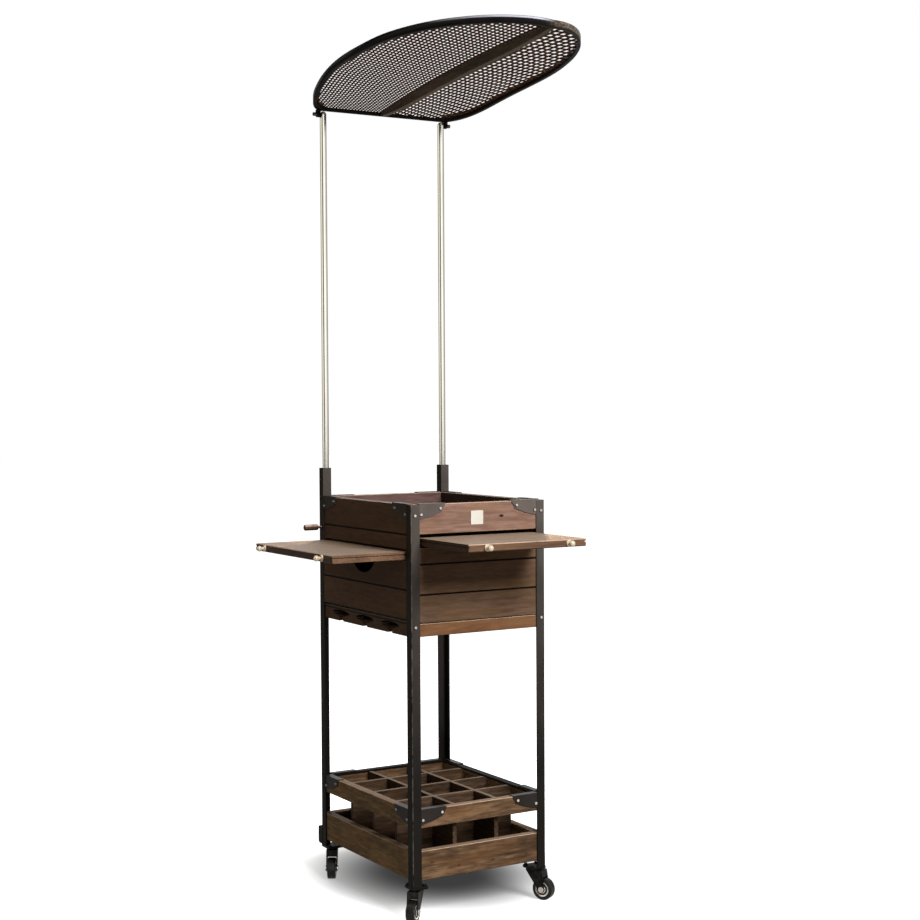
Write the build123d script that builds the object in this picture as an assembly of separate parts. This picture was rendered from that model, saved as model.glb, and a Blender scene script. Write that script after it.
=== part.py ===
"""Bar cart: a planked tray box with two pull-out boards, a drawer and a stem rack, a bottle
rack below it, and two poles that carry a leaf-shaped net canopy, all on swivel casters.

Millimetres, +Z up. The origin is on the floor under the middle of the plan; the front is -Y
and the drawer side is -X.
"""
import os
from math import asin, atan2, cos, degrees, hypot, pi, sin

from build123d import *

os.makedirs("parts", exist_ok=True)

# Plan and posts
cart_width = 350
cart_depth = 450
flange = 22
steel = 3
plank_thick = flange - steel
plank_ease = 0.8
post_bottom = 73
post_bend = 2.5
tray_top = 920
socket_top = 988
half_width = cart_width / 2
half_depth = cart_depth / 2
face_x = half_width - steel
face_y = half_depth - steel
inner_x = face_x - plank_thick
inner_y = face_y - plank_thick

# Levels of the box
tray_low = 854
deck_low = 856
deck_thick = 8
panel_low = 657.5
panel_joints = (721, 788)
joint_gap = 1
front_slot_low = 825
box_low = 629
floor_low = 655
floor_top = 663
apron_low = 820
apron_top = 853

# Serving boards
board_thick = 17
board_round = 3
front_board_low = 829
front_board_half = 149.5
front_board_length = 400
front_board_reach = 425
front_knob_x = 104
left_board_low = 799
left_board_half = 198
left_board_length = 310
left_board_reach = 353
left_knob_y = 148
groove_tall = 3
groove_deep = 3
groove_below_top = 5
runner_wide = 14
runner_tall = 9.5
runner_gap = 0.5

# Knobs of the boards
knob_reach = 20.5
knob_ball = 6.5
knob_neck = 3.5
knob_base = 7.5
knob_base_thick = 4
knob_base_round = 1.5

# Drawer
drawer_half = 201.5
drawer_front_low = 666
drawer_front_joint = 732
drawer_front_top = 796
scoop_radius = 68
scoop_bottom = 755
drawer_side_thick = 12
drawer_side_outer = 198
drawer_side_low = 664
drawer_side_top = 776
drawer_back_end = 138
drawer_bottom_low = 668
drawer_bottom_thick = 6

# Stem rack
stem_places = (-120, 0, 120)
stem_opening_wide = 86
stem_opening_tall = 15
stem_slot_wide = 22
stem_lip_top = 640

# Bottle rack
rail_high = (206, 246)
rail_low = (90, 154.5)
rack_floor_top = 99
divider_thick = 10
divider_top = 244
divider_round = 8
divider_slack = 0.1
long_divider_x = (-55, 55)
cross_divider_y = (-108, 0, 108)

# Corner brackets, screws and badge plate
bracket_thick = 2
bracket_long = 65
bracket_lip = 14
bracket_edge = ((0, -33), (28, -27), (46, -21), (58, -16))
bracket_scoop = (60.5, -9)
bracket_tip = -4
bracket_screws = ((4, -22), (53, -9.5))
screw_head = 4
screw_head_tall = 2.4
screw_head_round = 1.6
screw_shank = 2
wood_screw_long = 14
tube_screw_long = 4
post_screw_inset = 10
post_screw_levels = (651, 896)
badge_middle = (-4.5, 886.5)
badge_size = (32, 31)
badge_thick = 1.5
badge_round = 2

# Rear bumpers
bumper_depth = 18
bumper_levels = (76, 118)
bumper_round = 6

# Pole sockets, poles and clamp knobs
socket_bore = 16.2
socket_stop = (780, 790)
pole_radius = 8
pole_wall = 1.5
clamp_level = 846
clamp_stem_radius = 3
clamp_stem_end = 0.4
clamp_knob_radius = 7.2
clamp_knob_from = 185.5
clamp_knob_to = 221
clamp_knob_round = 2.5
running_gap = 0.05
pole_x = face_x - plank_thick / 2
pole_y = face_y - plank_thick / 2

# Canopy
leaf_half = 234
leaf_widest = 341
leaf_back = 362.5
leaf_back_power = 4.7
leaf_front = 399
leaf_front_power = 1.75
leaf_steps = 8
rim_wide = 8
rim_half_tall = 8
rise_start = 1847.7
rise_slope = 0.1587
rise_bend = -0.00008
dish_run = 200
dish_slopes = {-1: 0.1275, 1: 0.0275}
bar_half = 4
bar_drop = 7.3
net_half_thick = 1
net_gap = 0.1
net_pitch = 30
net_opening = 20
net_margin = 5
net_tip_wide = 6
rib_half = 7
rib_above = 3
rib_below = 21
rib_power = 4
rib_end_below = 8
rib_tip_gap = 1
pin_level = 1831
pin_radius = 3
pin_head_radius = 4.5
pin_head_long = 10
pin_head_round = 1.5
lug_radius = 7
lug_x = (172, 179)
lug_lap = 3
pole_plug = 8

# Casters
swivel_x = 156
swivel_y = 206
plate_size = 38
bolt_reach = 14
bolt_radius = 2.5
bolt_head = 4.5
bolt_head_tall = 3.5
king_pin_radius = 5
king_head_radius = 8
king_head = (60, 63)
crown = (64, 68)
crown_back = -16
crown_front = 26
race_radius = 15
race_top = 69.5
trail = 25
wheel_radius = 25
wheel_half = 10
wheel_round = 3
wheel_dish = 17
wheel_boss = 10
wheel_dish_deep = 2
axle_radius = 4
axle_head_radius = 7
axle_head_tall = 2.6
axle_head_round = 1.2
leg_inside = 11.2
leg_thick = 2
leg_end = 8
leg_drop = 2
hood_thick = 2
hood_front_low = 46
hood_back_low = 53
trails = {
    "front_left": (-0.742, -0.669),
    "front_right": (0.469, -0.883),
    "rear_left": (-0.515, -0.857),
    "rear_right": (0.2, -0.98),
}
corners = {
    "front_left": (-1, -1),
    "front_right": (1, -1),
    "rear_left": (-1, 1),
    "rear_right": (1, 1),
}


def span(low, high):
    """Box between two opposite corner points."""
    size = [abs(b - a) for a, b in zip(low, high)]
    middle = [(a + b) / 2 for a, b in zip(low, high)]
    return Pos(*middle) * Box(*size)


def plank(low, high):
    """Box between two corner points with every edge eased."""
    solid = span(low, high)
    return chamfer(solid.edges(), plank_ease)


def rod(start, direction, radius, length):
    """Round bar from a start point along a direction."""
    plane = Plane(origin=start, z_dir=direction)
    return plane.location * Cylinder(radius, length, align=(Align.CENTER, Align.CENTER, Align.MIN))


def save(name, *solids):
    """Write one node, as one solid or as a group of separate solids."""
    shape = solids[0] if len(solids) == 1 else Compound(children=list(solids))
    export_step(shape, f"parts/{name}.step")


def post(side_x, side_y, top):
    """Angle post with its welded foot plate, drilled for the caster bolts."""
    corner_x = side_x * half_width
    corner_y = side_y * half_depth
    start = (corner_x, corner_y, post_bottom)
    face_flange = span(start, (side_x * inner_x, side_y * face_y, top))
    side_flange = span(start, (side_x * face_x, side_y * inner_y, top))
    upright = (face_flange + side_flange).edges().filter_by(Axis.Z)
    angle = fillet(upright.sort_by_distance((corner_x, corner_y, top / 2))[0], post_bend)
    foot_end = (corner_x - side_x * plate_size, corner_y - side_y * plate_size, post_bottom + steel)
    solid = angle + span(start, foot_end)
    for x, y in bolt_places(side_x, side_y):
        solid -= rod((x, y, post_bottom - steel), (0, 0, 1), bolt_radius + running_gap, 3 * steel)
    return solid


def bolt_places(side_x, side_y):
    """Caster bolt centres of one corner, clear of the post's flanges."""
    return [
        (side_x * (swivel_x + a * bolt_reach), side_y * (swivel_y + b * bolt_reach))
        for a, b in ((-1, -1), (-1, 1), (1, -1))
    ]


def screw(point, normal, length):
    """Round-head screw whose head stands on a face at the point."""
    head = Cylinder(screw_head, screw_head_tall, align=(Align.CENTER, Align.CENTER, Align.MIN))
    head = fillet(head.edges().sort_by(Axis.Z)[-1], screw_head_round)
    shank = Pos(0, 0, -length) * Cylinder(screw_shank, length, align=(Align.CENTER, Align.CENTER, Align.MIN))
    return Plane(origin=point, z_dir=normal).location * (head + shank)


def bracket_plate(plane, flip):
    """Bracket face plate drawn on a plane whose x runs along the plank and y runs up."""
    points = [(flip * u, v) for u, v in bracket_edge]
    tip = (flip * bracket_long, bracket_tip)
    top = (flip * bracket_long, 0)
    scoop = ThreePointArc(points[-1], (flip * bracket_scoop[0], bracket_scoop[1]), tip)
    outline = Polyline(*points) + scoop + Polyline(tip, top, (0, 0), points[0])
    return extrude(plane * make_face(outline), amount=bracket_thick)


def mirrored(solid):
    """The solid at the front-left corner copied to all four corners."""
    across = mirror(solid, about=Plane.YZ)
    return [solid, across, mirror(solid, about=Plane.XZ), mirror(across, about=Plane.XZ)]


def knob(point, normal):
    """Small ball knob on a round base."""
    base = Cylinder(knob_base, knob_base_thick, align=(Align.CENTER, Align.CENTER, Align.MIN))
    base = fillet(base.edges().sort_by(Axis.Z)[-1], knob_base_round)
    neck = Cylinder(knob_neck, knob_reach - knob_ball, align=(Align.CENTER, Align.CENTER, Align.MIN))
    ball = Pos(0, 0, knob_reach - knob_ball) * Sphere(knob_ball)
    return Plane(origin=point, z_dir=normal).location * (base + neck + ball)


def divider_along_y(x):
    """Long divider with slots in its upper half for the cross dividers."""
    half = divider_thick / 2
    solid = span((x - half, -inner_y, rack_floor_top), (x + half, inner_y, divider_top))
    ends = solid.edges().filter_by(Axis.X).group_by(Axis.Z)[-1]
    solid = fillet(ends, divider_round)
    for y in cross_divider_y:
        reach = half + divider_slack
        solid -= span((x - 2 * half, y - reach, divider_lap), (x + 2 * half, y + reach, divider_top + half))
    return solid


def divider_along_x(y):
    """Cross divider with slots in its lower half for the long dividers."""
    half = divider_thick / 2
    solid = span((-inner_x, y - half, rack_floor_top), (inner_x, y + half, divider_top))
    ends = solid.edges().filter_by(Axis.Y).group_by(Axis.Z)[-1]
    solid = fillet(ends, divider_round)
    for x in long_divider_x:
        reach = half + divider_slack
        slot_low = (x - reach, y - 2 * half, rack_floor_top - half)
        solid -= span(slot_low, (x + reach, y + 2 * half, divider_lap))
    return solid


def leaf_width(y, inset):
    """Half width of the leaf outline at a place along Y, drawn in by an inset."""
    along = y - leaf_middle
    reach, power = (leaf_back, leaf_back_power) if along > 0 else (leaf_front, leaf_front_power)
    share = 1 - abs(along / (reach - inset)) ** power
    return (leaf_half - inset) * share ** (1 / power) if share > 0 else 0


def leaf_edge(inset, first_x, last_u):
    """Points (half width, reach) of the leaf's drawn-in edge, from a half width by the tip to the back."""
    wide = leaf_half - inset
    front = leaf_front - inset
    back = leaf_back - inset
    front_share = 2 / leaf_front_power
    back_share = 2 / leaf_back_power
    first = asin((first_x / wide) ** (1 / front_share))
    last = asin(((leaf_widest - last_u) / back) ** (1 / back_share))
    points = []
    for i in range(leaf_steps):
        turn = first + (pi / 2 - first) * i / leaf_steps
        points.append((wide * sin(turn) ** front_share, leaf_widest + front * cos(turn) ** front_share))
    for i in range(leaf_steps + 1):
        turn = last * i / leaf_steps
        points.append((wide * cos(turn) ** back_share, leaf_widest - back * sin(turn) ** back_share))
    return points


def net_openings():
    """Centres of the openings that lie wholly inside the right half of the net."""
    half = net_opening / 2 + net_margin
    columns = [rib_half + half + net_pitch * i for i in range(int(leaf_half / net_pitch) + 1)]
    row_count = int((leaf_back + leaf_front) / net_pitch)
    rows = [pole_y - bar_half - half - net_pitch * j for j in range(row_count)]
    places = []
    for y in rows:
        edge = min(leaf_width(y - half, rim_wide), leaf_width(y + half, rim_wide))
        places += [(x, y) for x in columns if x + half < edge]
    return places


def mid_level(u):
    """Height of the canopy's middle line at a reach forward of the poles."""
    return rise_start + rise_slope * u + rise_bend * u**2


def dish(u, side):
    """Lift of one half of the leaf for each millimetre out from the rib, growing from the back bar."""
    share = min(max(u / dish_run, 0), 1)
    return dish_slopes[side] * share**2 * (3 - 2 * share)


def canopy_strip(side, outer, inner, low, high):
    """Strip of one half of the arched, dished canopy between two edges and two heights about its middle."""
    runs = [hypot(b[0] - a[0], b[1] - a[1]) for a, b in zip(outer, outer[1:])]
    places = [sum(runs[:i]) / sum(runs) for i in range(len(outer))]
    edges = []
    for points in (outer, inner):
        lifted = [(side * x, pole_y - u, mid_level(u) + dish(u, side) * x + low) for x, u in points]
        edges.append(Edge.make_spline(lifted, parameters=places))
    return Solid.extrude(Face.make_surface_from_curves(*edges), (0, 0, high - low))


leaf_middle = pole_y - leaf_widest
divider_lap = (rack_floor_top + divider_top) / 2
panel_levels = (panel_low, *panel_joints, front_slot_low)
panel_front = tuple(zip(panel_levels, panel_levels[1:]))
panel_closed = panel_front[:2] + ((panel_joints[1], apron_top),)
half_gap = joint_gap / 2

# Posts
for place, (side_x, side_y) in corners.items():
    solid = post(side_x, side_y, socket_top if side_y > 0 else tray_top)
    if side_y > 0:
        start = (side_x * (half_width + steel), pole_y, clamp_level)
        solid -= rod(start, (-side_x, 0, 0), clamp_stem_radius + running_gap, 3 * steel)
    save(f"{place}_post", solid)

# Pole sockets: square tubes in the rear angles with a stop for the pole's foot
sockets = []
for side_x in (-1, 1):
    tube = span((side_x * face_x, face_y, box_low), (side_x * inner_x, inner_y, socket_top))
    bore = socket_bore / 2
    x = side_x * pole_x
    for low, high in ((box_low, socket_stop[0]), (socket_stop[1], socket_top)):
        tube -= span((x - bore, pole_y - bore, low), (x + bore, pole_y + bore, high))
    start = (side_x * half_width, pole_y, clamp_level)
    tube -= rod(start, (-side_x, 0, 0), clamp_stem_radius + running_gap, plank_thick / 2)
    sockets.append(tube)
save("pole_sockets", *sockets)

# Tray
save("tray_front_plank", plank((-face_x, -face_y, tray_low), (face_x, -inner_y, tray_top)))
save("tray_rear_plank", plank((-inner_x, inner_y, tray_low), (inner_x, face_y, tray_top)))
side_planks = [
    plank((side_x * face_x, -inner_y, tray_low), (side_x * inner_x, inner_y, tray_top)) for side_x in (-1, 1)
]
save("tray_side_planks", *side_planks)
save("tray_deck", span((-inner_x, -inner_y, deck_low), (inner_x, inner_y, deck_low + deck_thick)))

# Panels of the box
front_planks = [
    plank((-face_x, -face_y, low + half_gap), (face_x, -inner_y, high - half_gap))
    for low, high in panel_front
]
save("front_panel_planks", *front_planks)
rear_planks = [
    plank((-inner_x, inner_y, low + half_gap), (inner_x, face_y, high - half_gap))
    for low, high in panel_closed
]
save("rear_panel_planks", *rear_planks)
right_planks = [
    plank((inner_x, -inner_y, low + half_gap), (face_x, inner_y, high - half_gap))
    for low, high in panel_closed
]
save("right_panel_planks", *right_planks)
save("left_apron", plank((-face_x, -inner_y, apron_low), (-inner_x, inner_y, apron_top)))
rail_top = panel_low - half_gap
save(
    "bottom_rails",
    plank((-face_x, -face_y, box_low), (face_x, -inner_y, rail_top)),
    plank((-inner_x, inner_y, box_low), (inner_x, face_y, rail_top)),
    plank((inner_x, -inner_y, box_low), (face_x, inner_y, rail_top)),
)
save("box_floor", span((-inner_x, -inner_y, floor_low), (inner_x, inner_y, floor_top)))

# Stem rack under the box, open to the left
fascia = plank((-face_x, -inner_y, box_low), (-inner_x, inner_y, floor_top))
opening_level = stem_lip_top + stem_opening_tall / 2
for y in stem_places:
    outline = Plane(origin=(-half_width, y, opening_level), x_dir=(0, 1, 0), z_dir=(1, 0, 0))
    fascia -= extrude(outline * Ellipse(stem_opening_wide / 2, stem_opening_tall / 2), amount=2 * plank_thick)
    slot_low = (-half_width, y - stem_slot_wide / 2, box_low - steel)
    fascia -= span(slot_low, (-inner_x + steel, y + stem_slot_wide / 2, opening_level))
save("stem_fascia", fascia)
slot_edges = [-inner_y] + [y + s * stem_slot_wide / 2 for y in stem_places for s in (-1, 1)] + [inner_y]
lips = [
    span((-inner_x, low, box_low), (inner_x, high, stem_lip_top))
    for low, high in zip(slot_edges[::2], slot_edges[1::2])
]
save("stem_lips", *lips)
opening_edges = [-inner_y] + [y + s * stem_opening_wide / 2 for y in stem_places for s in (-1, 1)] + [inner_y]
spacers = [
    span((-inner_x, low, stem_lip_top), (inner_x, high, floor_low))
    for low, high in zip(opening_edges[::2], opening_edges[1::2])
]
save("stem_spacers", *spacers)

# Runners that carry the two boards
runners = []
for side in (-1, 1):
    high = front_board_low - runner_gap
    low_corner = (side * (inner_x - runner_wide), -inner_y, high - runner_tall)
    runners.append(span(low_corner, (side * inner_x, inner_y, high)))
    high = left_board_low - runner_gap
    low_corner = (-inner_x, side * (inner_y - runner_wide), high - runner_tall)
    runners.append(span(low_corner, (inner_x, side * inner_y, high)))
save("board_runners", *runners)

# Front board and its knobs
board = span(
    (-front_board_half, -front_board_reach, front_board_low),
    (front_board_half, front_board_length - front_board_reach, front_board_low + board_thick),
)
board = fillet(board.edges().filter_by(Axis.X).group_by(Axis.Y)[0], board_round)
groove_high = front_board_low + board_thick - groove_below_top
for s in (-1, 1):
    low = (s * (front_board_half - groove_deep), -front_board_reach, groove_high - groove_tall)
    board -= span(low, (s * front_board_half, front_board_length - front_board_reach, groove_high))
save("front_board", board)
knob_level = front_board_low + board_thick / 2
knob_places = [(s * front_knob_x, -front_board_reach, knob_level) for s in (-1, 1)]
save("front_board_knobs", *[knob(place, (0, -1, 0)) for place in knob_places])

# Left board and its knobs
board = span(
    (-left_board_reach, -left_board_half, left_board_low),
    (left_board_length - left_board_reach, left_board_half, left_board_low + board_thick),
)
board = fillet(board.edges().filter_by(Axis.Y).group_by(Axis.X)[0], board_round)
groove_high = left_board_low + board_thick - groove_below_top
for s in (-1, 1):
    low = (-left_board_reach, s * (left_board_half - groove_deep), groove_high - groove_tall)
    board -= span(low, (left_board_length - left_board_reach, s * left_board_half, groove_high))
save("left_board", board)
knob_level = left_board_low + board_thick / 2
knob_places = [(-left_board_reach, s * left_knob_y, knob_level) for s in (-1, 1)]
save("left_board_knobs", *[knob(place, (-1, 0, 0)) for place in knob_places])

# Drawer
front_back = -half_width + plank_thick
lower_top = drawer_front_joint - half_gap
lower = plank((-half_width, -drawer_half, drawer_front_low), (front_back, drawer_half, lower_top))
save("drawer_lower_front", lower)
upper_low = drawer_front_joint + half_gap
upper = plank((-half_width, -drawer_half, upper_low), (front_back, drawer_half, drawer_front_top))
scoop_level = scoop_bottom + scoop_radius
upper -= rod((-half_width - plank_thick, 0, scoop_level), (1, 0, 0), scoop_radius, 3 * plank_thick)
save("drawer_upper_front", upper)
side_inner = drawer_side_outer - drawer_side_thick
sides = []
for s in (-1, 1):
    side_low = (front_back, s * side_inner, drawer_side_low)
    sides.append(span(side_low, (drawer_back_end, s * drawer_side_outer, drawer_side_top)))
save("drawer_sides", *sides)
back_front = drawer_back_end - drawer_side_thick
back_low = (back_front, -side_inner, drawer_side_low)
save("drawer_back", span(back_low, (drawer_back_end, side_inner, drawer_side_top)))
bottom_low = (front_back, -side_inner, drawer_bottom_low)
save("drawer_bottom", span(bottom_low, (back_front, side_inner, drawer_bottom_low + drawer_bottom_thick)))

# Bottle rack
for name, (low, high) in (("rack_upper_rails", rail_high), ("rack_lower_rails", rail_low)):
    rails = []
    for side in (-1, 1):
        rails.append(plank((-face_x, side * face_y, low), (face_x, side * inner_y, high)))
        rails.append(plank((side * face_x, -inner_y, low), (side * inner_x, inner_y, high)))
    save(name, *rails)
save("rack_floor", span((-inner_x, -inner_y, rail_low[0]), (inner_x, inner_y, rack_floor_top)))
save("rack_long_dividers", *[divider_along_y(x) for x in long_divider_x])
save("rack_cross_dividers", *[divider_along_x(y) for y in cross_divider_y])

# Corner brackets with a lip over the plank's top, and all screws
brackets = []
screws = []
for top in (tray_top, rail_high[1]):
    front_plane = Plane(origin=(-inner_x, -face_y, top), x_dir=(1, 0, 0), z_dir=(0, -1, 0))
    lip_low = (-inner_x, -face_y - bracket_thick, top)
    lip = span(lip_low, (-inner_x + bracket_long, -face_y + bracket_lip, top + bracket_thick))
    brackets += mirrored(bracket_plate(front_plane, 1) + lip)
    side_plane = Plane(origin=(-face_x, -inner_y, top), x_dir=(0, -1, 0), z_dir=(-1, 0, 0))
    lip_low = (-face_x - bracket_thick, -inner_y, top)
    lip = span(lip_low, (-face_x + bracket_lip, -inner_y + bracket_long, top + bracket_thick))
    brackets += mirrored(bracket_plate(side_plane, -1) + lip)
    for u, v in bracket_screws:
        point = (-inner_x + u, -face_y - bracket_thick, top + v)
        screws += mirrored(screw(point, (0, -1, 0), wood_screw_long))
        point = (-face_x - bracket_thick, -inner_y + u, top + v)
        screws += mirrored(screw(point, (-1, 0, 0), wood_screw_long))
for z in post_screw_levels:
    for side_x in (-1, 1):
        x = side_x * (half_width - post_screw_inset)
        screws.append(screw((x, -half_depth, z), (0, -1, 0), wood_screw_long))
        screws.append(screw((x, half_depth, z), (0, 1, 0), tube_screw_long))
save("corner_brackets", *brackets)
save("screws", *screws)

# Bare badge plate on the front of the tray
badge_x, badge_z = badge_middle
plate = Pos(badge_x, -face_y - badge_thick / 2, badge_z) * Box(badge_size[0], badge_thick, badge_size[1])
save("badge_plate", fillet(plate.edges().filter_by(Axis.Y), badge_round))

# Rear bumpers behind the posts' feet
bumpers = []
for side_x in (-1, 1):
    low = (side_x * half_width, half_depth, bumper_levels[0])
    block = span(low, (side_x * inner_x, half_depth + bumper_depth, bumper_levels[1]))
    bumpers.append(fillet(block.edges().filter_by(Axis.X).group_by(Axis.Y)[-1], bumper_round))
save("rear_bumpers", *bumpers)

# Poles with a round solid end, drilled for the hinge pins
for place, side_x in (("left", -1), ("right", 1)):
    foot = (side_x * pole_x, pole_y, socket_stop[1])
    top = (side_x * pole_x, pole_y, pin_level)
    solid = rod(foot, (0, 0, 1), pole_radius, pin_level - socket_stop[1]) + Pos(*top) * Sphere(pole_radius)
    solid -= rod(foot, (0, 0, 1), pole_radius - pole_wall, pin_level - pole_plug - socket_stop[1])
    solid -= rod(top, (side_x, 0, 0), pin_radius, 2 * pole_radius)
    save(f"{place}_pole", solid)

# Hinge pins with a round head outside the canopy's lugs
pins = []
for side_x in (-1, 1):
    outward = (side_x, 0, 0)
    head_from = lug_x[1] + running_gap
    pin = rod((side_x * pole_x, pole_y, pin_level), outward, pin_radius, head_from - pole_x)
    head = Cylinder(pin_head_radius, pin_head_long, align=(Align.CENTER, Align.CENTER, Align.MIN))
    head = fillet(head.edges().sort_by(Axis.Z)[-1], pin_head_round)
    pins.append(pin + Plane(origin=(side_x * head_from, pole_y, pin_level), z_dir=outward).location * head)
save("hinge_pins", *pins)

# Clamp knobs that hold the poles
for place, side_x in (("left", -1), ("right", 1)):
    outward = (side_x, 0, 0)
    inside = pole_x + pole_radius + clamp_stem_end
    stem = rod((side_x * inside, pole_y, clamp_level), outward, clamp_stem_radius, clamp_knob_from - inside)
    grip_long = clamp_knob_to - clamp_knob_from
    grip = Cylinder(clamp_knob_radius, grip_long, align=(Align.CENTER, Align.CENTER, Align.MIN))
    grip = fillet(grip.edges().filter_by(GeomType.CIRCLE), clamp_knob_round)
    start = (side_x * clamp_knob_from, pole_y, clamp_level)
    save(f"{place}_clamp_knob", stem + Plane(origin=start, z_dir=outward).location * grip)

# Canopy: rim closed by a low back bar, with lugs for the hinge pins
rim_outer = leaf_edge(0, 0, -bar_half)
rim_inner = leaf_edge(rim_wide, 0, bar_half)
bar_back = rim_outer[-1][0]
bar_front = rim_inner[-1][0]
bar_corners = ((bar_back, pole_y + bar_half), (bar_front, pole_y - bar_half))
bar_plan = make_face(Polyline(*bar_corners, *[(-x, y) for x, y in reversed(bar_corners)], close=True))
bar_start = Pos(0, 0, rise_start - bar_drop)
rim = extrude(bar_start * bar_plan, amount=bar_drop + net_half_thick, dir=(0, 0, 1))
for side in (-1, 1):
    rim += canopy_strip(side, rim_outer, rim_inner, -rim_half_tall, rim_half_tall)
    eye = (side * lug_x[0], pole_y, pin_level)
    lug_low = (side * lug_x[0], pole_y - lug_radius, pin_level)
    lug = span(lug_low, (side * lug_x[1], pole_y + lug_radius, rise_start - rim_half_tall + lug_lap))
    lug += rod(eye, (side, 0, 0), lug_radius, lug_x[1] - lug_x[0])
    lug -= rod(eye, (side, 0, 0), pin_radius + running_gap, lug_x[1] - lug_x[0])
    rim += lug
save("canopy_rim", rim)

# Canopy: middle rib, of even depth that eases off at both ends
rib_from = bar_half + net_gap
rib_to = leaf_widest + leaf_front - rim_wide - rib_tip_gap
shares = [i / leaf_steps for i in range(leaf_steps + 1)]
rib_top = []
rib_low = []
for share in shares:
    u = rib_from + (rib_to - rib_from) * share
    drop = rib_end_below + (rib_below - rib_end_below) * (1 - (2 * share - 1) ** rib_power)
    rib_top.append((pole_y - u, mid_level(u) + rib_above))
    rib_low.append((pole_y - u, mid_level(u) - drop))
ends = Line(rib_top[0], rib_low[0]) + Line(rib_top[-1], rib_low[-1])
profile = Plane.YZ * make_face(Spline(*rib_top) + Spline(*rib_low) + ends)
save("canopy_rib", extrude(profile, amount=rib_half, both=True))

# Canopy: two net panels
net_outer = leaf_edge(rim_wide + net_gap, rib_half + net_tip_wide, rib_from)
net_inner = [(rib_half + net_gap, u) for x, u in net_outer]
for place, side in (("left", -1), ("right", 1)):
    net = canopy_strip(side, net_outer, net_inner, -net_half_thick, net_half_thick)
    cutter = Box(net_opening, net_opening, leaf_half)
    cutters = [Pos(side * x, y, rise_start) * cutter for x, y in net_openings()]
    save(f"canopy_{place}_net", net - cutters)

# Caster plates with their king pins, and the bolts that hold them
plates = []
bolts = []
for side_x, side_y in corners.values():
    x = side_x * swivel_x
    y = side_y * swivel_y
    plate = Pos(x, y, post_bottom - steel / 2) * Box(plate_size, plate_size, steel)
    for bolt_x, bolt_y in bolt_places(side_x, side_y):
        start = (bolt_x, bolt_y, post_bottom - steel)
        plate -= rod(start, (0, 0, 1), bolt_radius + running_gap, steel)
        head_level = post_bottom + steel
        bolts.append(
            rod(start, (0, 0, 1), bolt_radius, 2 * steel)
            + Pos(bolt_x, bolt_y, head_level) * extrude(RegularPolygon(bolt_head, 6), amount=bolt_head_tall)
        )
    plate += rod((x, y, king_head[0]), (0, 0, 1), king_pin_radius, post_bottom - steel - king_head[0])
    plate += rod((x, y, king_head[0]), (0, 0, 1), king_head_radius, king_head[1] - king_head[0])
    plates.append(plate)
save("caster_plates", *plates)
save("caster_bolts", *bolts)

# Hooded fork, axle and wheel, drawn with the swivel axis on Z and the wheel trailing along +X
leg_outside = leg_inside + leg_thick
leg_top = ((crown_back, crown[1]), (crown_front, crown[1]))
leg_low = ((trail + leg_end, wheel_radius), (trail - leg_end, wheel_radius - leg_drop))
leg = make_face(Polyline(*leg_top, *leg_low, close=True)) + Pos(trail, wheel_radius) * Circle(leg_end)
leg_run = (trail - leg_end - crown_back) / (crown[1] - wheel_radius + leg_drop)
front_high = crown_back + leg_run * (crown[1] - crown[0]) + hood_thick
front_low = crown_back + leg_run * (crown[1] - hood_front_low) + hood_thick
far = 2 * trail + wheel_radius
hollow = make_face(
    Polyline(
        (front_high, crown[0]),
        (crown_front - hood_thick, crown[0]),
        (crown_front - hood_thick, hood_back_low),
        (far, hood_back_low),
        (far, -wheel_radius),
        (-far, -wheel_radius),
        (-far, hood_front_low),
        (front_low, hood_front_low),
        close=True,
    )
)
fork = extrude(Plane((0, leg_outside, 0), x_dir=(1, 0, 0), z_dir=(0, -1, 0)) * leg, amount=2 * leg_outside)
fork -= extrude(Plane((0, leg_inside, 0), x_dir=(1, 0, 0), z_dir=(0, -1, 0)) * hollow, amount=2 * leg_inside)
fork += rod((0, 0, crown[1]), (0, 0, 1), race_radius, race_top - crown[1])
fork -= rod((0, 0, crown[0]), (0, 0, 1), king_pin_radius + running_gap, race_top - crown[0])
axle_start = (trail, -leg_outside, wheel_radius)
fork -= rod(axle_start, (0, 1, 0), axle_radius + running_gap, 2 * leg_outside)

axle = rod(axle_start, (0, 1, 0), axle_radius, 2 * leg_outside)
for side in (-1, 1):
    head = Cylinder(axle_head_radius, axle_head_tall, align=(Align.CENTER, Align.CENTER, Align.MIN))
    head = fillet(head.edges().sort_by(Axis.Z)[-1], axle_head_round)
    axle += Plane(origin=(trail, side * leg_outside, wheel_radius), z_dir=(0, side, 0)).location * head

wheel = fillet(Cylinder(wheel_radius, 2 * wheel_half).edges().filter_by(GeomType.CIRCLE), wheel_round)
for side in (-1, 1):
    dish = Cylinder(wheel_dish, wheel_dish_deep) - Cylinder(wheel_boss, wheel_dish_deep)
    wheel -= Pos(0, 0, side * (wheel_half - wheel_dish_deep / 2)) * dish
wheel -= Cylinder(axle_radius + running_gap, 2 * wheel_half)
wheel = Pos(trail, 0, wheel_radius) * Rot(90, 0, 0) * wheel

for place, (side_x, side_y) in corners.items():
    along_x, along_y = trails[place]
    there = Pos(side_x * swivel_x, side_y * swivel_y, 0) * Rot(0, 0, degrees(atan2(along_y, along_x)))
    save(f"{place}_fork", there * fork)
    save(f"{place}_axle", there * axle)
    save(f"{place}_wheel", there * wheel)
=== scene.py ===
"""Finishes, woven canopy net and studio for the bar cart.

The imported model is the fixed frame: metres, +Z up, front at -Y, drawer side at -X. Each sub-assembly
is a class that dresses its solids and builds the pieces that the solids only stand for.
"""

import logging
import math
from dataclasses import dataclass, replace
from enum import Enum

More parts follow.
